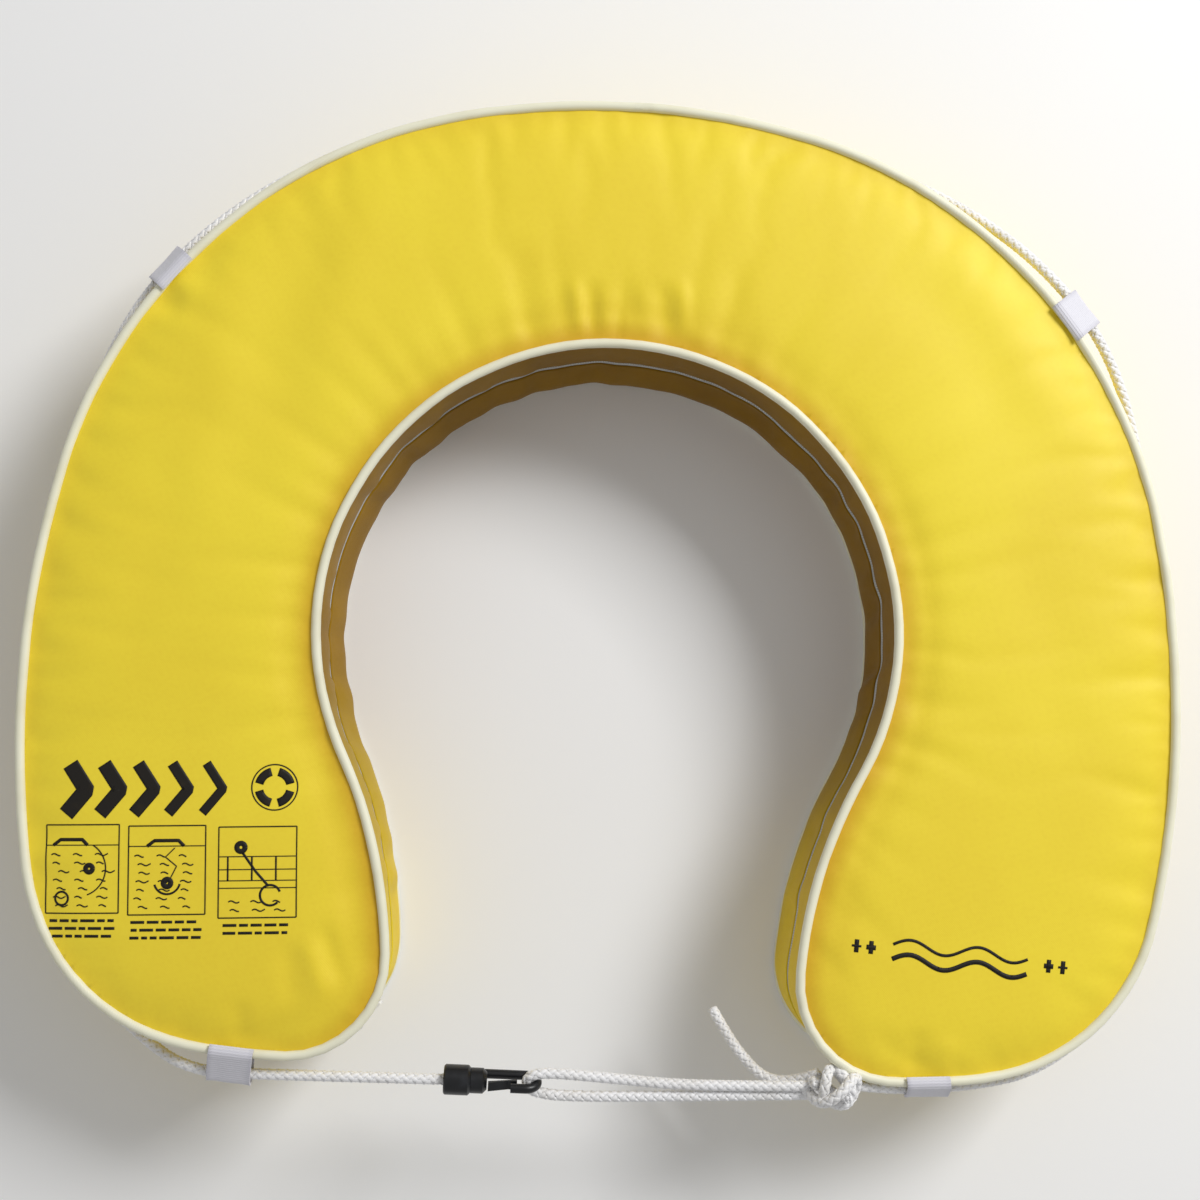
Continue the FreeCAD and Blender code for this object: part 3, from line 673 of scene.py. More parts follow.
def cut_panel(name, height, way, node):
    """The form's faces inside one seam, as a panel of cloth of its own."""
    panel = form.copy()
    panel.data = form.data.copy()
    panel.name = name
    bpy.context.collection.objects.link(panel)
    points = points_of(panel)
    rise = (points[:, 2] - start[:, 2]) * way
    soft = np.where(rise > 0, PANEL_RISE * np.tanh(rise / PANEL_RISE),
                    -PANEL_SINK * np.tanh(-rise / PANEL_SINK))
    points[:, 2] = start[:, 2] + way * soft
    move_points(panel, points)
    centres = np.array([f.center for f in panel.data.polygons])
    gap, _ = seam_distance(centres)
    drop = (centres[:, 2] - height) * way
    panel.data.polygons.foreach_set("select", ~(drop > -0.75 * gap - 0.2 * MM))
    only(panel)
    bpy.ops.object.mode_set(mode="EDIT")
    bpy.ops.mesh.select_mode(type="FACE")
    bpy.ops.mesh.delete(type="FACE")
    bpy.ops.object.mode_set(mode="OBJECT")

    def hem():
        points, edge = points_of(panel), open_edge(panel.data)
        _, run = seam_distance(points[edge])
        points[edge, :2], points[edge, 2] = seam_at(run)[0], height
        move_points(panel, points)

    hem()
    modify(panel, "SUBSURF", levels=1, render_levels=1)
    hem()
    points = points_of(panel)
    gap, run = seam_distance(points)
    points[:, 2] += way * (crease_rise(points) * (1 if way > 0 else 0.3) + pucker_rise(gap, run)) \
        * smooth_step(gap, 0, 6 * MM)
    points[:, 2] = np.maximum(points[:, 2], 0.1 * MM)
    move_points(panel, points)
    panel.vertex_groups.clear()
    # seam_gap and arch_side steer the painted shade beside the seams in the panel finish.
    note(panel, "seam_gap", gap)
    note(panel, "arch_side", smooth_step(inner_limit - np.minimum(run, SEAM_LENGTH - run),
                                         -60 * MM, 60 * MM))
    modify(panel, "SOLIDIFY", thickness=CLOTH, offset=-1)
    panel.data.shade_smooth()
    belongs(panel, node)
    print(f"{name}: {len(panel.data.polygons)} faces")
    return panel


front_panel = cut_panel("cover_front", HIGH_SEAM, 1, "front_panel")
back_panel = cut_panel("cover_back", LOW_SEAM, -1, "back_panel")
bpy.data.objects.remove(form)

# %% [markdown]
# ## The foam
# Two slabs of closed-cell foam fill the cover.  They only show if a panel is taken off, but a
# reader of the model should find them, so each is the seam's shape with its edges rounded over.
# %% Foam slabs
FOAM_INSET, FOAM_ROUNDING = 7.5 * MM, 4 * MM
for node, low, high in (("foam_back_slab", 4.2 * MM, 49.8 * MM),
                        ("foam_front_slab", 50.2 * MM, 95.0 * MM)):
    slab = seam_block(node.replace("slab", "core"), FOAM_INSET, low, high, 6 * MM)
    modify(slab, "BEVEL", width=FOAM_ROUNDING, segments=3, limit_method="ANGLE", angle_limit=SHARP)
    slab.data.shade_smooth()
    belongs(slab, node)
    print(slab.name, len(slab.data.polygons), "faces")

# %% [markdown]
# ## The walls and the zip
# A wall is a long strip of cloth, so it starts as a flat grid, and each of its points is moved to
# its place along the seam and its height.  One function says how far the cloth stands out at every
# place, and the zip, the tapes and both inner strips all follow it, so they belly together.
# %% How far the walls stand out
# (height, how far out) of the inner wall's belly, in millimetres
INNER_BELLY = [(3, 0.2), (7, 3.4), (13, 5.6), (20, 6.0), (28, 4.6), (37, 2.6), (44, 1.2),
               (50, 0.7), (56, 1.2), (64, 2.2), (74, 2.7), (84, 2.2), (92, 1.0), (97, 0.0)]
TUCK = -0.75  # how far out a wall starts at its seams, in millimetres
SLIDER_REACH, ZIP_CLOSED = 64 * MM, 84 * MM


def from_arch(run):
    """Distance from the middle of the arch, negative on the left."""
    return (np.asarray(run) + SEAM_LENGTH / 2) % SEAM_LENGTH - SEAM_LENGTH / 2


def inner_out(run, height):
    """The inner wall and its zip: gathered cloth that sags, but keeps still for the slider."""
    way = from_arch(run)
    ends = smooth_step(inner_limit - np.abs(way), 4 * MM, 95 * MM)
    at_zip = np.exp(-((height - MIDDLE) / (10 * MM)) ** 4)
    ends = ends * (1 - at_zip * (1 - smooth_step(inner_limit + way, SLIDER_REACH, 150 * MM)))
    fine = np.linspace(3, 97, 189)
    curve = np.pad(np.interp(fine, *zip(*INNER_BELLY)), 8, mode="edge")
    belly = np.interp(height / MM, fine, np.convolve(curve, np.ones(17) / 17, "valid"))
    share = np.clip((height - LOW_SEAM) / (HIGH_SEAM - LOW_SEAM), 0, 1)
    free = np.sin(math.pi * share) ** 0.6
    stiff = 1 - 0.72 * np.exp(-((height - MIDDLE) / (9 * MM)) ** 2)
    slanted = way + (height - MIDDLE) * 0.25 * smooth_noise(way, 90 * MM, 31)
    folds = 2.2 * smooth_noise(slanted, 12 * MM, 32) + 1.7 * smooth_noise(way, 29 * MM, 33)
    gathers = 0.7 * smooth_noise(way, 5 * MM, 34) * np.exp(-(HIGH_SEAM - height) / (16 * MM))
    above_zip = np.exp(-((height - 66 * MM) / (8 * MM)) ** 2)
    gathers = gathers + 0.7 * smooth_noise(slanted, 6 * MM, 35) * above_zip
    right = 0.55 + 0.35 * smooth_step(way, -120 * MM, 160 * MM)
    belly = belly * (1 - 0.72 * smooth_step(way, 60 * MM, 190 * MM))
    belly = belly * (1 - 0.75 * smooth_step(-way, 290 * MM, 400 * MM))
    low = 1.0 + 0.5 * (share < 0.5) * np.sin(math.tau * share).clip(0)
    loose = belly + free * stiff * right * low * folds + free * gathers
    return (TUCK - 0.22 * at_zip + ends * loose) * MM


def outer_out(run, height):
    """The outer wall: tight over the foam, with a slight belly and long shallow dents."""
    way = from_arch(run)
    ends = smooth_step(np.abs(way) - inner_limit, 0, 40 * MM)
    share = np.clip((height - LOW_SEAM) / (HIGH_SEAM - LOW_SEAM), 0, 1)
    free = np.sin(math.pi * share) ** 0.7
    dents = 0.55 * smooth_noise(run, 38 * MM, 41)
    dents = dents + 0.3 * smooth_noise(run + height * 0.6, 15 * MM, 42)
    return (TUCK + free * (0.9 + dents) * ends) * MM


def unwrap(obj, length, width):
    """Stretches a grid's own UV map to its real size."""
    uv = obj.data.uv_layers[0].uv
    flat = np.empty(len(uv) * 2)
    uv.foreach_get("vector", flat)
    uv.foreach_set("vector", (flat.reshape(-1, 2) * (length, width)).ravel())


def band(name, run_from, run_to, low, high, spacing, rows, out_at, gauge, extra=0.0):
    """A strip of cloth that follows the seam."""
    columns = int((run_to - run_from) / spacing)
    bpy.ops.mesh.primitive_grid_add(x_subdivisions=columns, y_subdivisions=rows, size=1)
    strip = bpy.context.object
    strip.name = strip.data.name = name
    flat = points_of(strip)
    run = run_from + (flat[:, 0] + 0.5) * (run_to - run_from)
    # arch_depth rises deep into the arch; the wall finish paints shade by it.
    note(strip, "arch_depth", smooth_step(inner_limit - np.abs(from_arch(run)), 40 * MM, 250 * MM))
    height = low + (flat[:, 1] + 0.5) * (high - low)
    place, out = seam_at(run)
    place = place + out * (out_at(run, height) + extra)[:, None]
    move_points(strip, np.column_stack([place, height]))
    unwrap(strip, run_to - run_from, high - low)
    modify(strip, "SOLIDIFY", thickness=gauge, offset=1)
    face_out(strip)
    strip.data.shade_smooth()
    print(f"{name}: {(run_to - run_from) * 1000:.0f} mm long, {len(strip.data.polygons)} faces")
    return strip


# %% Cloth walls
walls = [
    band("wall_outer", inner_limit, SEAM_LENGTH - inner_limit, LOW_SEAM, HIGH_SEAM, 3 * MM, 26,
         outer_out, CLOTH),
    band("wall_inner_front", -inner_limit, inner_limit, 54.2 * MM, HIGH_SEAM, 2 * MM, 21,
         inner_out, CLOTH),
    band("wall_inner_back", -inner_limit, inner_limit, LOW_SEAM, 45.8 * MM, 2 * MM, 21,
         inner_out, CLOTH),
]
for wall, node in zip(walls, ("outer_wall", "inner_wall_front", "inner_wall_back")):
    belongs(wall, node)

# %% Zip tapes
TAPE, TAPE_SINK = 0.6 * MM, -0.5 * MM
tapes = [band("zip_tape_upper", -inner_limit, inner_limit, 52.2 * MM, 60.5 * MM, 3 * MM, 5,
              inner_out, TAPE, TAPE_SINK),
         band("zip_tape_lower", -inner_limit, inner_limit, 39.5 * MM, 47.8 * MM, 3 * MM, 5,
              inner_out, TAPE, TAPE_SINK)]
for tape, node in zip(tapes, ("zip_tape_front", "zip_tape_back")):
    belongs(tape, node)

# %% [markdown]
# The zip's teeth are one nylon coil on each tape.  One turn of the coil is shaped once, as a bead
# that is flattened and stretched across the tape, and laid down again and again along the wall.
# %% Zip coils
TOOTH_PITCH = 1.5 * MM
bpy.ops.mesh.primitive_uv_sphere_add(segments=8, ring_count=5, radius=1)
tooth = bpy.context.object
tooth_points = points_of(tooth)
tooth_faces = [tuple(f.vertices) for f in tooth.data.polygons]
bpy.data.objects.remove(tooth)


def coil(name, side, node):
    """One row of teeth, which stands back from the other where the slider travels."""
    run = np.arange(-inner_limit + 10 * MM, inner_limit - 8 * MM, TOOTH_PITCH)
    run = run + (0.5 + side * 0.25) * TOOTH_PITCH
    closed = smooth_step(run + inner_limit, SLIDER_REACH, ZIP_CLOSED)
    reach = (1.15 + 0.42 * closed) * MM
    height = MIDDLE + side * (1.72 - 0.32 * closed) * MM
    place, out = seam_at(run)
    inward = inner_out(run, height) - 0.70 * MM
    centre = np.column_stack([place + out * inward[:, None], height])
    out3 = np.column_stack([out, np.zeros(len(out))])
    along = np.column_stack([-out[:, 1], out[:, 0], np.zeros(len(out))])
    made = (centre[:, None] + along[:, None] * tooth_points[None, :, 0:1] * 0.62 * MM
            + out3[:, None] * tooth_points[None, :, 1:2] * 0.95 * MM
            + np.array([0, 0, 1.0]) * tooth_points[None, :, 2:3] * reach[:, None, None])
    count = len(tooth_points)
    faces = [tuple(i + count * n for i in f) for n in range(len(run)) for f in tooth_faces]
    row = new_mesh(name, made.reshape(-1, 3), faces)
    face_out(row)
    belongs(row, node)
    print(f"{name}: {len(run)} teeth")
    return row


coils = [coil("zip_teeth_upper", 1, "zip_coil_front"), coil("zip_teeth_lower", -1, "zip_coil_back")]

# %% [markdown]
# ## Piping
# The piping is a cord wrapped in cream cloth and sewn into both seams.  A torus already is a closed
# round tube, so its rings are moved to their places along the seam, with the small waves that
# sewing leaves in it.
# %% Piping round both seams
def piping(name, height, node, seed):
    rings, corners = int(SEAM_LENGTH / (2.5 * MM)), 12
    bpy.ops.mesh.primitive_torus_add(major_segments=rings, minor_segments=corners,
                                     major_radius=1, minor_radius=0.25)
    tube = bpy.context.object
    tube.name = tube.data.name = name
    points = points_of(tube)
    angle = np.arctan2(points[:, 1], points[:, 0])
    ring = np.hypot(points[:, 0], points[:, 1]) - 1
    run = -angle / math.tau * SEAM_LENGTH
    round_it = np.arctan2(points[:, 2], ring)
    place, out = seam_at(run)
    plump = PIPING_RADIUS * (0.98 + 0.03 * smooth_noise(run, 11 * MM, seed))
    sway = (0.25 * smooth_noise(run, 26 * MM, seed + 1)) * MM
    if height < MIDDLE:
        sway = sway - 1.6 * MM * smooth_step(inner_limit - np.abs(from_arch(run)), 0, 60 * MM)
    lift = (0.35 * smooth_noise(run, 33 * MM, seed + 2)) * MM
    place = place + out * (sway + plump * np.cos(round_it))[:, None]
    move_points(tube, np.column_stack([place, height + lift + plump * np.sin(round_it)]))
    face_out(tube)
    corner_point = np.empty(len(tube.data.loops), dtype=np.int32)
    tube.data.loops.foreach_get("vertex_index", corner_point)
    wrap = np.column_stack([run, round_it * PIPING_RADIUS])[corner_point]
    tube.data.uv_layers[0].uv.foreach_set("vector", wrap.ravel())
    tube.data.shade_smooth()
    belongs(tube, node)
    print(f"{name}: {rings} rings")
    return tube


pipings = [piping("piping_front", HIGH_SEAM, "front_piping", 51),
           piping("piping_back", LOW_SEAM, "back_piping", 61)]

# %% [markdown]
# ## Webbing tabs
# Each tab is one length of white webbing: out of the seam, over the piping, round the rope and back
# into the wall below.  Its side view is two round turns joined by straight runs, so that line is
# worked out first and the webbing laid along it.
# %% Tabs
TAB_WIDTH, TAB_GAUGE, TAB_CLEARANCE, TAB_STEP = 24 * MM, 1.3 * MM, 0.7 * MM, 0.7 * MM
TABS = {"lower_left": (-195, -272.9, 87.5), "upper_left": (-260, 174, 86.5),
        "upper_right": (265, 178.5, 87.5), "lower_right": (187, -264.6, 88.8)}


def tab_line(rope_out, rope_height):
    """The tab's side view: points out of the seam and up, from the panel round to the wall."""
    seam_turn = np.array([0.0, HIGH_SEAM])
    rope_turn = np.array([rope_out, rope_height])
    radii = [r + TAB_CLEARANCE + TAB_GAUGE / 2 for r in (PIPING_RADIUS, ROPE_DIAMETER / 2)]
    apart = np.linalg.norm(rope_turn - seam_turn)
    tilt = math.atan2(*(rope_turn - seam_turn)[::-1])
    lean = math.acos((radii[0] - radii[1]) / apart)
    upper, lower = tilt + lean, tilt - lean
    turns = [(seam_turn, radii[0], math.radians(138), upper, 10),
             (rope_turn, radii[1], upper, lower, 22),
             (seam_turn, radii[0], lower, math.radians(-97), 8)]
    line = [centre + radius * np.array([math.cos(a), math.sin(a)])
            for centre, radius, first, last, steps in turns
            for a in np.linspace(first, last, steps)]
    flat, _ = even_steps(np.column_stack([line, np.zeros(len(line))]), TAB_STEP)
    return flat[:, :2]


tabs = []
for label, (x, y, z) in TABS.items():
    place, out = seam_at(seam_distance(np.array([[x, y, 0]]) * MM)[1])
    line = tab_line(float((np.array([x, y]) * MM - place[0]) @ out[0]), z * MM)
    bpy.ops.mesh.primitive_grid_add(x_subdivisions=len(line) - 1, y_subdivisions=14, size=1)
    tab = bpy.context.object
    tab.name = tab.data.name = "tab_" + label
    flat = points_of(tab)
    step = np.rint((flat[:, 0] + 0.5) * (len(line) - 1)).astype(int)
    share = step / (len(line) - 1)
    across = flat[:, 1] * TAB_WIDTH
    seed = len(label) + int(abs(x))
    sag = np.sin(math.pi * share) * (0.5 * smooth_noise(across, 8 * MM, seed)
                                     + 0.6 * (across / TAB_WIDTH * 2) ** 2) * MM
    skew = np.sin(math.pi * share) * 1.0 * MM * (1 if x > 0 else -1)
    away = line[step] - np.array([line[:, 0].mean(), line[:, 1].mean()])
    away /= np.linalg.norm(away, axis=1)[:, None]
    side_view = line[step] + away * sag[:, None] * 0.6
    along = np.array([-out[0][1], out[0][0]])
    spot = place[0] + out[0] * side_view[:, :1] + along * (across + skew)[:, None]
    move_points(tab, np.column_stack([spot, side_view[:, 1]]))
    unwrap(tab, len(line) * TAB_STEP, TAB_WIDTH)
    modify(tab, "SOLIDIFY", thickness=TAB_GAUGE, offset=0)
    modify(tab, "BEVEL", width=0.35 * MM, segments=2, limit_method="ANGLE", angle_limit=SHARP)
    face_out(tab)
    tab.data.shade_smooth()
    belongs(tab, "rope_tab_" + label)
    tabs.append(tab)
    print(tab.name, len(tab.data.polygons), "faces")


# %% [markdown]
# ## Finishes
# The cover is a fine twill of polyester yarn: satiny, and brightest where it faces the light.
# Painted shade deepens its colour beside the seams, most round the arch, and the inner walls deep
# in the arch take shaded copies of the yellow.  The weave is two sets of ridges that cross, felt by
# the light as relief and seen faintly in the colour.
# %% Cover cloth
TWILL_PITCH = 1.25 * MM


def waves(value, pitch):
    """A sine wave along a value, once in every pitch."""
    return (value * (math.tau / pitch)).sine()


def twill(across, along):
    """Diagonal ridges broken by the crossing threads, from 0 to 1."""
    ridge = waves(across + along, TWILL_PITCH)
    thread = waves(across - along, TWILL_PITCH)
    return ridge * thread * 0.35 + ridge * 0.15 + 0.5


def cover_finish(name, bright, deep, flat_piece):
    finish = Finish(name, Specular_IOR_Level=0.35 if flat_piece else 0.15,
                    Sheen_Weight=0.12 if flat_piece else 0.0, Sheen_Roughness=0.4)
    if flat_piece:
        across, along = finish.axes(finish.place())
        gap, arch = finish.mark("seam_gap"), finish.mark("arch_side")
        # Painted shade: the colour deepens beside the seams, most round the arch, and in a wider
        # band there.
        beside = (1 - gap.rises(0.001, 0.016)) * (arch * 0.36 + 0.12)
        wide_shade_and_mottle = (1 - gap.rises(0.008, 0.036)) * arch * 0.14
    else:
        across, along = finish.unwrapped()
        # Here the two marks are random mottling; deep in the arch the colours turn to shaded
        # copies, as painted shade.
        beside, wide_shade_and_mottle = finish.noise(26, 2) * 0.3, finish.noise(9, 1) * 0.15
        arch_shade_share = finish.mark("arch_depth")
        bright = finish.mix(arch_shade_share, bright, SHADED)
        deep = finish.mix(arch_shade_share, deep, SHADED_DEEP)
    weave = twill(across, along)
    clouds = finish.noise(7, 3).rises(0.3, 0.75)
    slubs = finish.noise(420, 2).rises(0.35, 0.8)
    # Painted shade beside the seams on the panels, with the cloth's own random tone and weave.
    depth = beside + wide_shade_and_mottle + clouds * 0.16 + slubs * 0.05 + (1 - weave) * 0.12
    tint = finish.mix(depth, bright, deep)
    relief = weave * 0.75 + slubs * 0.25
    finish.feed(Base_Color=tint, Roughness=finish.noise(60, 2) * 0.14 + 0.43)
    return finish.relief(relief, 0.12 * MM, 0.55)


def dress(finish, *objects):
    """Gives a finish to pieces, whether they are new or the frame's own."""
    for obj in objects:
        if not obj.material_slots:
            obj.data.materials.append(finish.material)
        for slot in obj.material_slots:
            slot.material = finish.material


# OCHRE is the dark end reached by painted shade beside the seams and by the random tone; SHADED and
# SHADED_DEEP are shaded copies painted on the inner walls deep in the arch.
YELLOW, OCHRE = linear(250, 228, 58), linear(204, 150, 22)
SHADED, SHADED_DEEP = linear(168, 128, 20), linear(84, 52, 6)
dress(cover_finish("cover_cloth_panels", YELLOW, OCHRE, True), front_panel, back_panel)
dress(cover_finish("cover_cloth_walls", YELLOW, OCHRE, False), *walls)

# %% [markdown]
# ## Piping, webbing, rope and zip
# Piping cloth is cut on the bias, so its weave runs round the cord at a slant.  Webbing has ribs
# across it and a close herringbone.  The rope's strands are already there as shapes, and only need
# the fine lines of their filaments.
# %% Light-coloured textiles
def piping_finish():
    finish = Finish("piping_cloth", Specular_IOR_Level=0.4, Sheen_Weight=0.1)
    run, around = finish.unwrapped()
    slant = waves(run + around, 1.1 * MM) * 0.5 + 0.5
    grime = finish.noise(30, 3).rises(0.45, 0.8)
    tucks = finish.noise(260, 1, roughness=0.3)
    finish.feed(Base_Color=finish.mix(grime * 0.35 + (1 - slant) * 0.12, linear(240, 238, 214),
                                      linear(206, 196, 158)),
                Roughness=grime * 0.1 + 0.42)
    return finish.relief(slant * 0.5 + tucks * 0.5, 0.16 * MM, 0.5)


def webbing_finish():
    finish = Finish("webbing_white", Specular_IOR_Level=0.4, Sheen_Weight=0.2, Sheen_Roughness=0.35)
    run, across = finish.unwrapped()
    rib = waves(run, 1.5 * MM)
    chevron = (waves(across, 3.0 * MM) * 1.4 + run * (math.tau / (0.75 * MM))).sine()
    height = rib * 0.3 + chevron * 0.2 + 0.5
    edge = (across / TAB_WIDTH - 0.5).size().rises(0.36, 0.5)
    row = (1 - ((run / (7 * MM)) - 0.62).size().rises(0.02, 0.07)) * 0.6
    dark = edge * 0.3 + (1 - height) * 0.25 + row * 0.1
    finish.feed(Base_Color=finish.mix(dark, linear(224, 223, 230), linear(170, 168, 180)),
                Roughness=height * 0.15 + 0.45)
    return finish.relief(height, 0.3 * MM, 0.7)


def rope_finish():
    finish = Finish("rope_nylon", Specular_IOR_Level=0.45, Sheen_Weight=0.25, Sheen_Roughness=0.3)
    wear = finish.noise(55, 3).rises(0.4, 0.8)
    fibres = finish.noise(2600, 1)
    finish.feed(Base_Color=finish.mix(wear * 0.3 + (1 - fibres) * 0.2, linear(246, 246, 248),
                                      linear(188, 182, 168)),
                Roughness=fibres * 0.2 + 0.38)
    return finish.relief(fibres, 0.12 * MM, 0.6)


def tape_finish():
    finish = Finish("zip_tape_cloth", Specular_IOR_Level=0.3)
    run, across = finish.unwrapped()
    knit = waves(run, 0.9 * MM) * waves(across, 0.8 * MM) * 0.5 + 0.5
    finish.feed(Base_Color=finish.mix(knit * 0.4, linear(206, 208, 206), linear(150, 152, 152)),
                Roughness=knit * 0.15 + 0.6)
    return finish.relief(knit, 0.15 * MM, 0.6)


def coil_finish():
    finish = Finish("zip_coil_nylon", Specular_IOR_Level=0.5)
    dull = finish.noise(120, 2).rises(0.35, 0.8)
    finish.feed(Base_Color=finish.mix(dull * 0.5, linear(226, 228, 228), linear(160, 164, 168)),
                Roughness=dull * 0.2 + 0.28)
    return finish.relief(finish.noise(1500, 1), 0.05 * MM, 0.4)


dress(piping_finish(), *pipings)
dress(webbing_finish(), *tabs)
dress(rope_finish(), grab_rope, loop_rope, tail_rope, knot)
dress(tape_finish(), *tapes)
dress(coil_finish(), *coils)


# %% [markdown]
# ## Plastic, metal and foam
# The hook is moulded acetal, a near-black that is faintly blue where it shines, with the fine grain
# of its mould.  The zip's slider is painted die-cast metal, its pull white plastic, and the foam
# shows its closed cells.
# %% Hard finishes
def moulded(name, colour, worn, roughness, grain):
    finish = Finish(name, Specular_IOR_Level=0.5)
    rubbed = finish.noise(90, 4).rises(0.52, 0.85)
    pits = finish.noise(grain, 3)
    finish.feed(Base_Color=finish.mix(rubbed * 0.5, colour, worn),
                Roughness=rubbed * 0.14 + pits * 0.1 + roughness)
    return finish.relief(pits, 0.06 * MM, 0.5)


def cast_metal():
    finish = Finish("zip_cast_metal", Specular_IOR_Level=0.5)
    rubbed = finish.noise(300, 3).rises(0.5, 0.75)
    finish.feed(Base_Color=finish.mix(rubbed, linear(196, 198, 200), linear(150, 152, 156)),
                Metallic=rubbed * 0.5 + 0.3, Roughness=rubbed * 0.15 + 0.32)
    return finish.relief(finish.noise(900, 2), 0.04 * MM, 0.5)


def foam_finish():
    finish = Finish("foam_closed_cell")
    cells = finish.node("ShaderNodeTexVoronoi", {"feature": "DISTANCE_TO_EDGE"},
                        {"Vector": finish.place(), "Scale": 900})
    in_cell = cells.rises(0, 0.3)
    finish.feed(Base_Color=finish.mix(in_cell, linear(196, 200, 204), linear(236, 238, 240)),
                Roughness=cells * 0.3 + 0.7)
    return finish.relief(cells, 0.2 * MM, 0.8)


nodes = bpy.data.objects
dress(moulded("hook_acetal", linear(17, 18, 21), linear(44, 46, 52), 0.30, 1800),
      nodes["hook_collar"], nodes["hook_body"], nodes["hook_gate"])
dress(cast_metal(), nodes["zip_slider"], nodes["zip_stop_slider_end"], nodes["zip_stop_far_end"])
dress(moulded("zip_pull_plastic", linear(232, 233, 235), linear(196, 198, 202), 0.34, 1200),
      nodes["zip_pull"])
dress(rope_finish(), nodes["stopper_knot"])
dress(foam_finish(), nodes["foam_back_core"], nodes["foam_front_core"])


def floor_finish():
    finish = Finish("studio_floor", Specular_IOR_Level=0.15)
    stains = finish.noise(3, 1) * 0.3
    finish.feed(Base_Color=finish.mix(stains, linear(246, 246, 246), linear(240, 240, 240)),
                Roughness=finish.noise(8, 1) * 0.1 + 0.7)
    return finish


dress(floor_finish(), floor)
print("finishes:", len(bpy.data.materials))

# %% [markdown]
# ## Printed marks
# The front panel carries a few marks in black ink: a bold sign and three framed drawings with
# captions on the left arm, and a sign on the right one.  All are plain figures here, without
# letters: chevrons, a ring, waves and dashes.  Each stroke is a thin ribbon that lies on the cloth.
# %% Ink strokes
INK_LIFT, INK_GAUGE, INK_STEP = 0.12 * MM, 0.1 * MM, 1.2


class Print:
    """A patch of the front panel that is drawn on in millimetres, turned to its own level."""

    def __init__(self, name, corner, turn):
        self.name, self.corner = name, np.array(corner)
        cosine, sine = math.cos(math.radians(turn)), math.sin(math.radians(turn))
        self.axes = np.array([[cosine, sine], [-sine, cosine]])
        self.points, self.faces = [], []

    def stroke(self, line, width, closed=False):
        """A ribbon along a line."""
        line = np.array([*line, line[0]] if closed else line, float)
        run = np.concatenate([[0], np.cumsum(np.linalg.norm(np.diff(line, axis=0), axis=1))])
        count = max(2, int(run[-1] / INK_STEP)) + 1
        steps = np.unique(np.concatenate([np.linspace(0, run[-1], count), run]))
        line = np.column_stack([np.interp(steps, run, line[:, i]) for i in (0, 1)])
        way = np.gradient(line, axis=0)
        way /= np.linalg.norm(way, axis=1)[:, None] + 1e-9
        aside = np.column_stack([-way[:, 1], way[:, 0]]) * width / 2
        lanes = max(2, int(width / INK_STEP) + 1)
        first = len(self.points)
        for share in np.linspace(-1, 1, lanes):
            self.points += list(line + aside * share)
        many = len(line)
        for lane in range(lanes - 1):
            for i in range(many - 1):
                a = first + lane * many + i
                self.faces.append((a, a + 1, a + many + 1, a + many))

    def arc(self, centre, radius, first, last, width):
        angles = np.radians(np.arange(first, last + 4, 8))
        self.stroke([(centre[0] + radius * math.cos(a), centre[1] + radius * math.sin(a))
                     for a in angles], width)

    def wave(self, start, length, width, height=0.9, period=9.0):
        self.stroke([(start[0] + u, start[1] + height * math.sin(u * math.tau / period))
                     for u in np.arange(0, length, 1.0)], width)

    def lay(self):
        """Drops the ribbons onto the panel's cloth."""
        flat = self.corner + np.array(self.points) @ self.axes
        spots = []
        for x, y in flat * MM:
            hit, spot, _, _ = front_panel.ray_cast((x, y, 0.2), (0, 0, -1))
            spots.append((x, y, (spot.z if hit else THICKNESS) + INK_LIFT))
        made = new_mesh(self.name, spots, self.faces)
        face_out(made)
        if made.data.polygons[0].normal.z < 0:
            edit(made, lambda: bpy.ops.mesh.flip_normals())
        modify(made, "SOLIDIFY", thickness=INK_GAUGE, offset=1)
        belongs(made)
        print(f"{self.name}: {len(made.data.polygons)} faces")
        return made


# %% Left arm: a sign, and three framed drawings
left_print = Print("print_left_arm", (-296.3, -136.7), 3.2)
for number, width in enumerate((9.0, 8.0, 7.0, 6.0, 5.0)):
    u = 5 + 18.5 * number
    left_print.stroke([(u, 1), (u + 11, 14), (u + 2, 28)], width)
for quarter in range(4):
    left_print.arc((118, 14.5), 8.6, quarter * 90 + 12, quarter * 90 + 74, 4.6)
left_print.arc((118, 14.5), 12.4, 0, 360, 0.7)

FRAMES = [((-5.9, -52.6), (34.2, -4.9)), ((39.4, -53.7), (81.0, -5.8)),
          ((88.1, -55.9), (130.2, -6.8))]
draws = np.random.default_rng(7)
for number, ((u0, v0), (u1, v1)) in enumerate(FRAMES):
    corners = [(u0, v0), (u1, v0), (u1, v1), (u0, v1), (u0, v0)]
    for side in zip(corners, corners[1:]):
        left_print.stroke(side, 0.65)
    sea = v1 - 11 if number < 2 else v0 + 16
    left_print.stroke([(u0, sea), (u1, sea)], 0.5)
    for row in np.arange(v0 + 4, sea - 3, 4.6):
        for u in np.arange(u0 + 3 + draws.uniform(0, 4), u1 - 8, 12):
            left_print.wave((u, row), draws.uniform(4, 7.5), 0.7, 0.6, 6.0)
(u0, v0), (u1, v1) = FRAMES[0]
left_print.stroke([(u0 + 4, v1 - 11), (u0 + 8, v1 - 8), (u0 + 20, v1 - 8), (u0 + 23, v1 - 11)], 1.8)
left_print.arc((u0 + 9, v0 + 8), 3.6, 0, 360, 1.1)
left_print.arc((u0 + 18, v0 + 24), 15, -70, 62, 0.7)
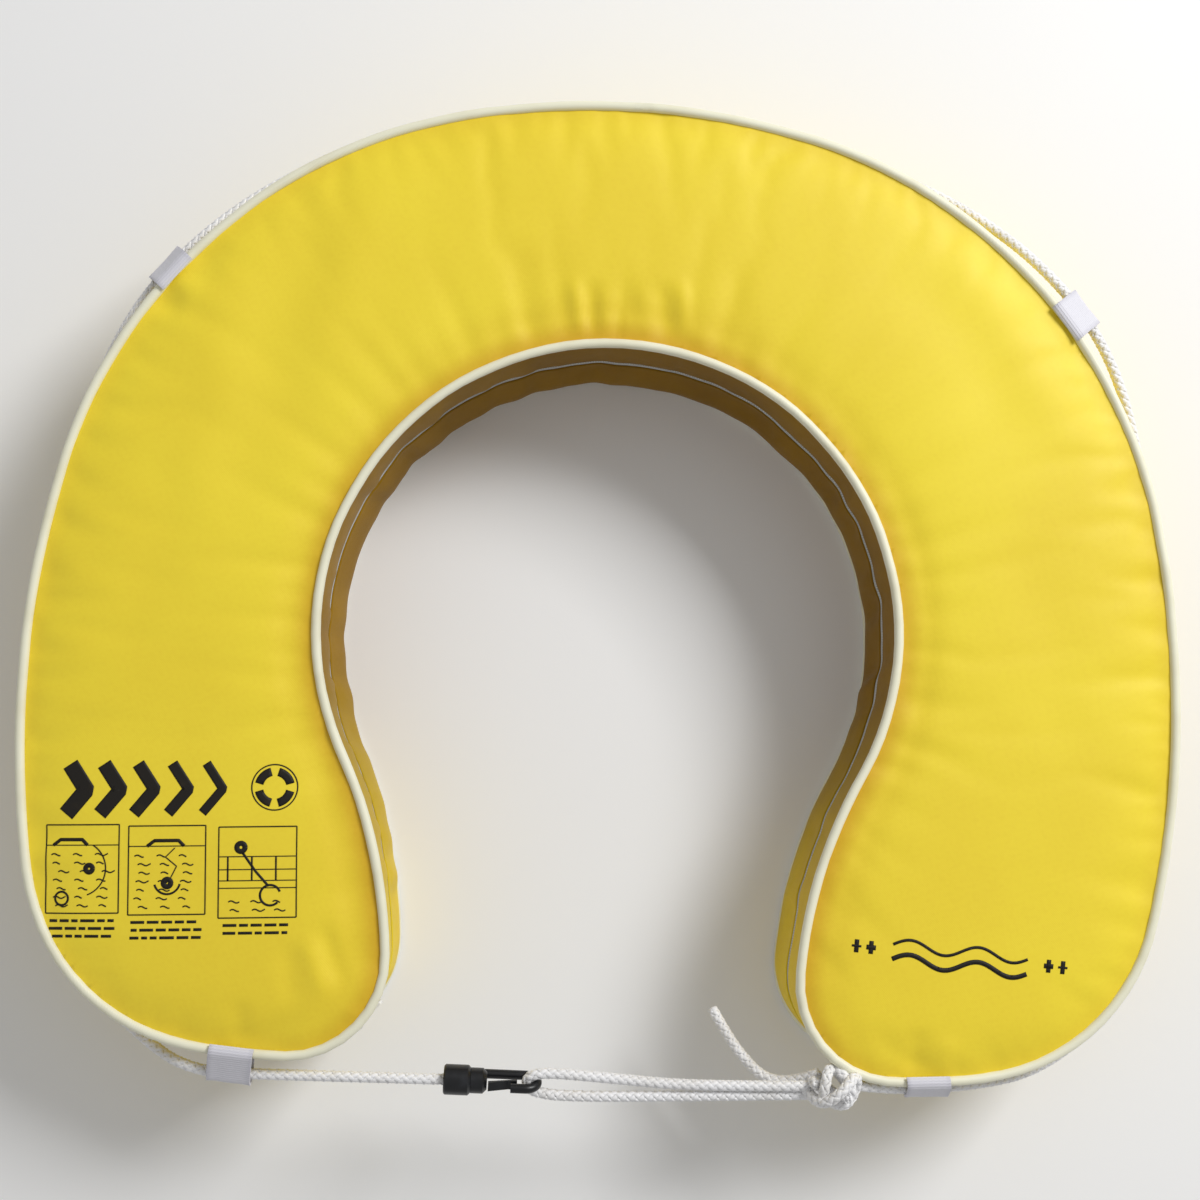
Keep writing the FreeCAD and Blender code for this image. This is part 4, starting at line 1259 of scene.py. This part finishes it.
left_print.arc((u0 + 24, v0 + 24), 1.9, 0, 360, 2.6)
(u0, v0), (u1, v1) = FRAMES[1]
left_print.stroke([(u0 + 10, v1 - 11), (u0 + 14, v1 - 8), (u0 + 27, v1 - 8), (u0 + 30, v1 - 11)],
                  1.8)
left_print.arc((u0 + 21, v0 + 17), 2.0, 0, 360, 2.8)
left_print.arc((u0 + 21, v0 + 18), 7, 195, 345, 1.1)
left_print.stroke([(u0 + 23, v0 + 20), (u0 + 26, v0 + 26), (u0 + 20, v0 + 31),
                   (u0 + 25, v1 - 12)], 0.6)
(u0, v0), (u1, v1) = FRAMES[2]
for height in (20, 26, 33):
    left_print.stroke([(u0, v0 + height), (u1, v0 + height)], 0.5)
for u in (5, 18, 31):
    left_print.stroke([(u0 + u, v0 + 20), (u0 + u, v0 + 33)], 0.9)
left_print.arc((u0 + 28, v0 + 12), 5.5, 20, 320, 1.2)
left_print.arc((u0 + 12, v0 + 38), 2.2, 0, 360, 2.8)
left_print.stroke([(u0 + 13, v0 + 35), (u0 + 20, v0 + 25), (u0 + 27, v0 + 17)], 1.3)
for (u0, v0), (u1, _) in FRAMES:
    for row in range(3 if u0 < 80 else 2):
        inset, u = draws.uniform(1, 4), u0
        u += inset
        while u < u1 - 4:
            word = min(draws.uniform(3, 8), u1 - inset - u)
            left_print.stroke([(u, v0 - 4 - 4.2 * row), (u + word, v0 - 4 - 4.2 * row)], 1.5)
            u += word + 1.5

# %% Right arm: a wave between diamonds
right_print = Print("print_right_arm", (138, -196), -3.4)
for lift, width in ((4, 2.6), (12, 1.6)):
    right_print.wave((26, lift), 76, width, 3.2, 38)
for u in (6, 14, 113, 121):
    right_print.stroke([(u - 2.6, 9), (u, 9), (u + 2.6, 9)], 1.2 if u in (6, 121) else 2.6)
    right_print.stroke([(u, 5.5), (u, 12.5)], 2.4)
prints = [left_print.lay(), right_print.lay()]


def ink_finish():
    """Screen ink, dull and a little broken by the weave under it."""
    finish = Finish("print_ink", Specular_IOR_Level=0.3)
    across, along = finish.axes(finish.place())
    weave = twill(across, along)
    thin = finish.noise(80, 3).rises(0.55, 0.85)
    worn = thin * 0.2 + weave * 0.06
    finish.feed(Base_Color=finish.mix(worn, linear(22, 20, 18), linear(98, 78, 22)),
                Roughness=weave * 0.15 + 0.5)
    return finish.relief(weave, 0.1 * MM, 0.5)


dress(ink_finish(), *prints)
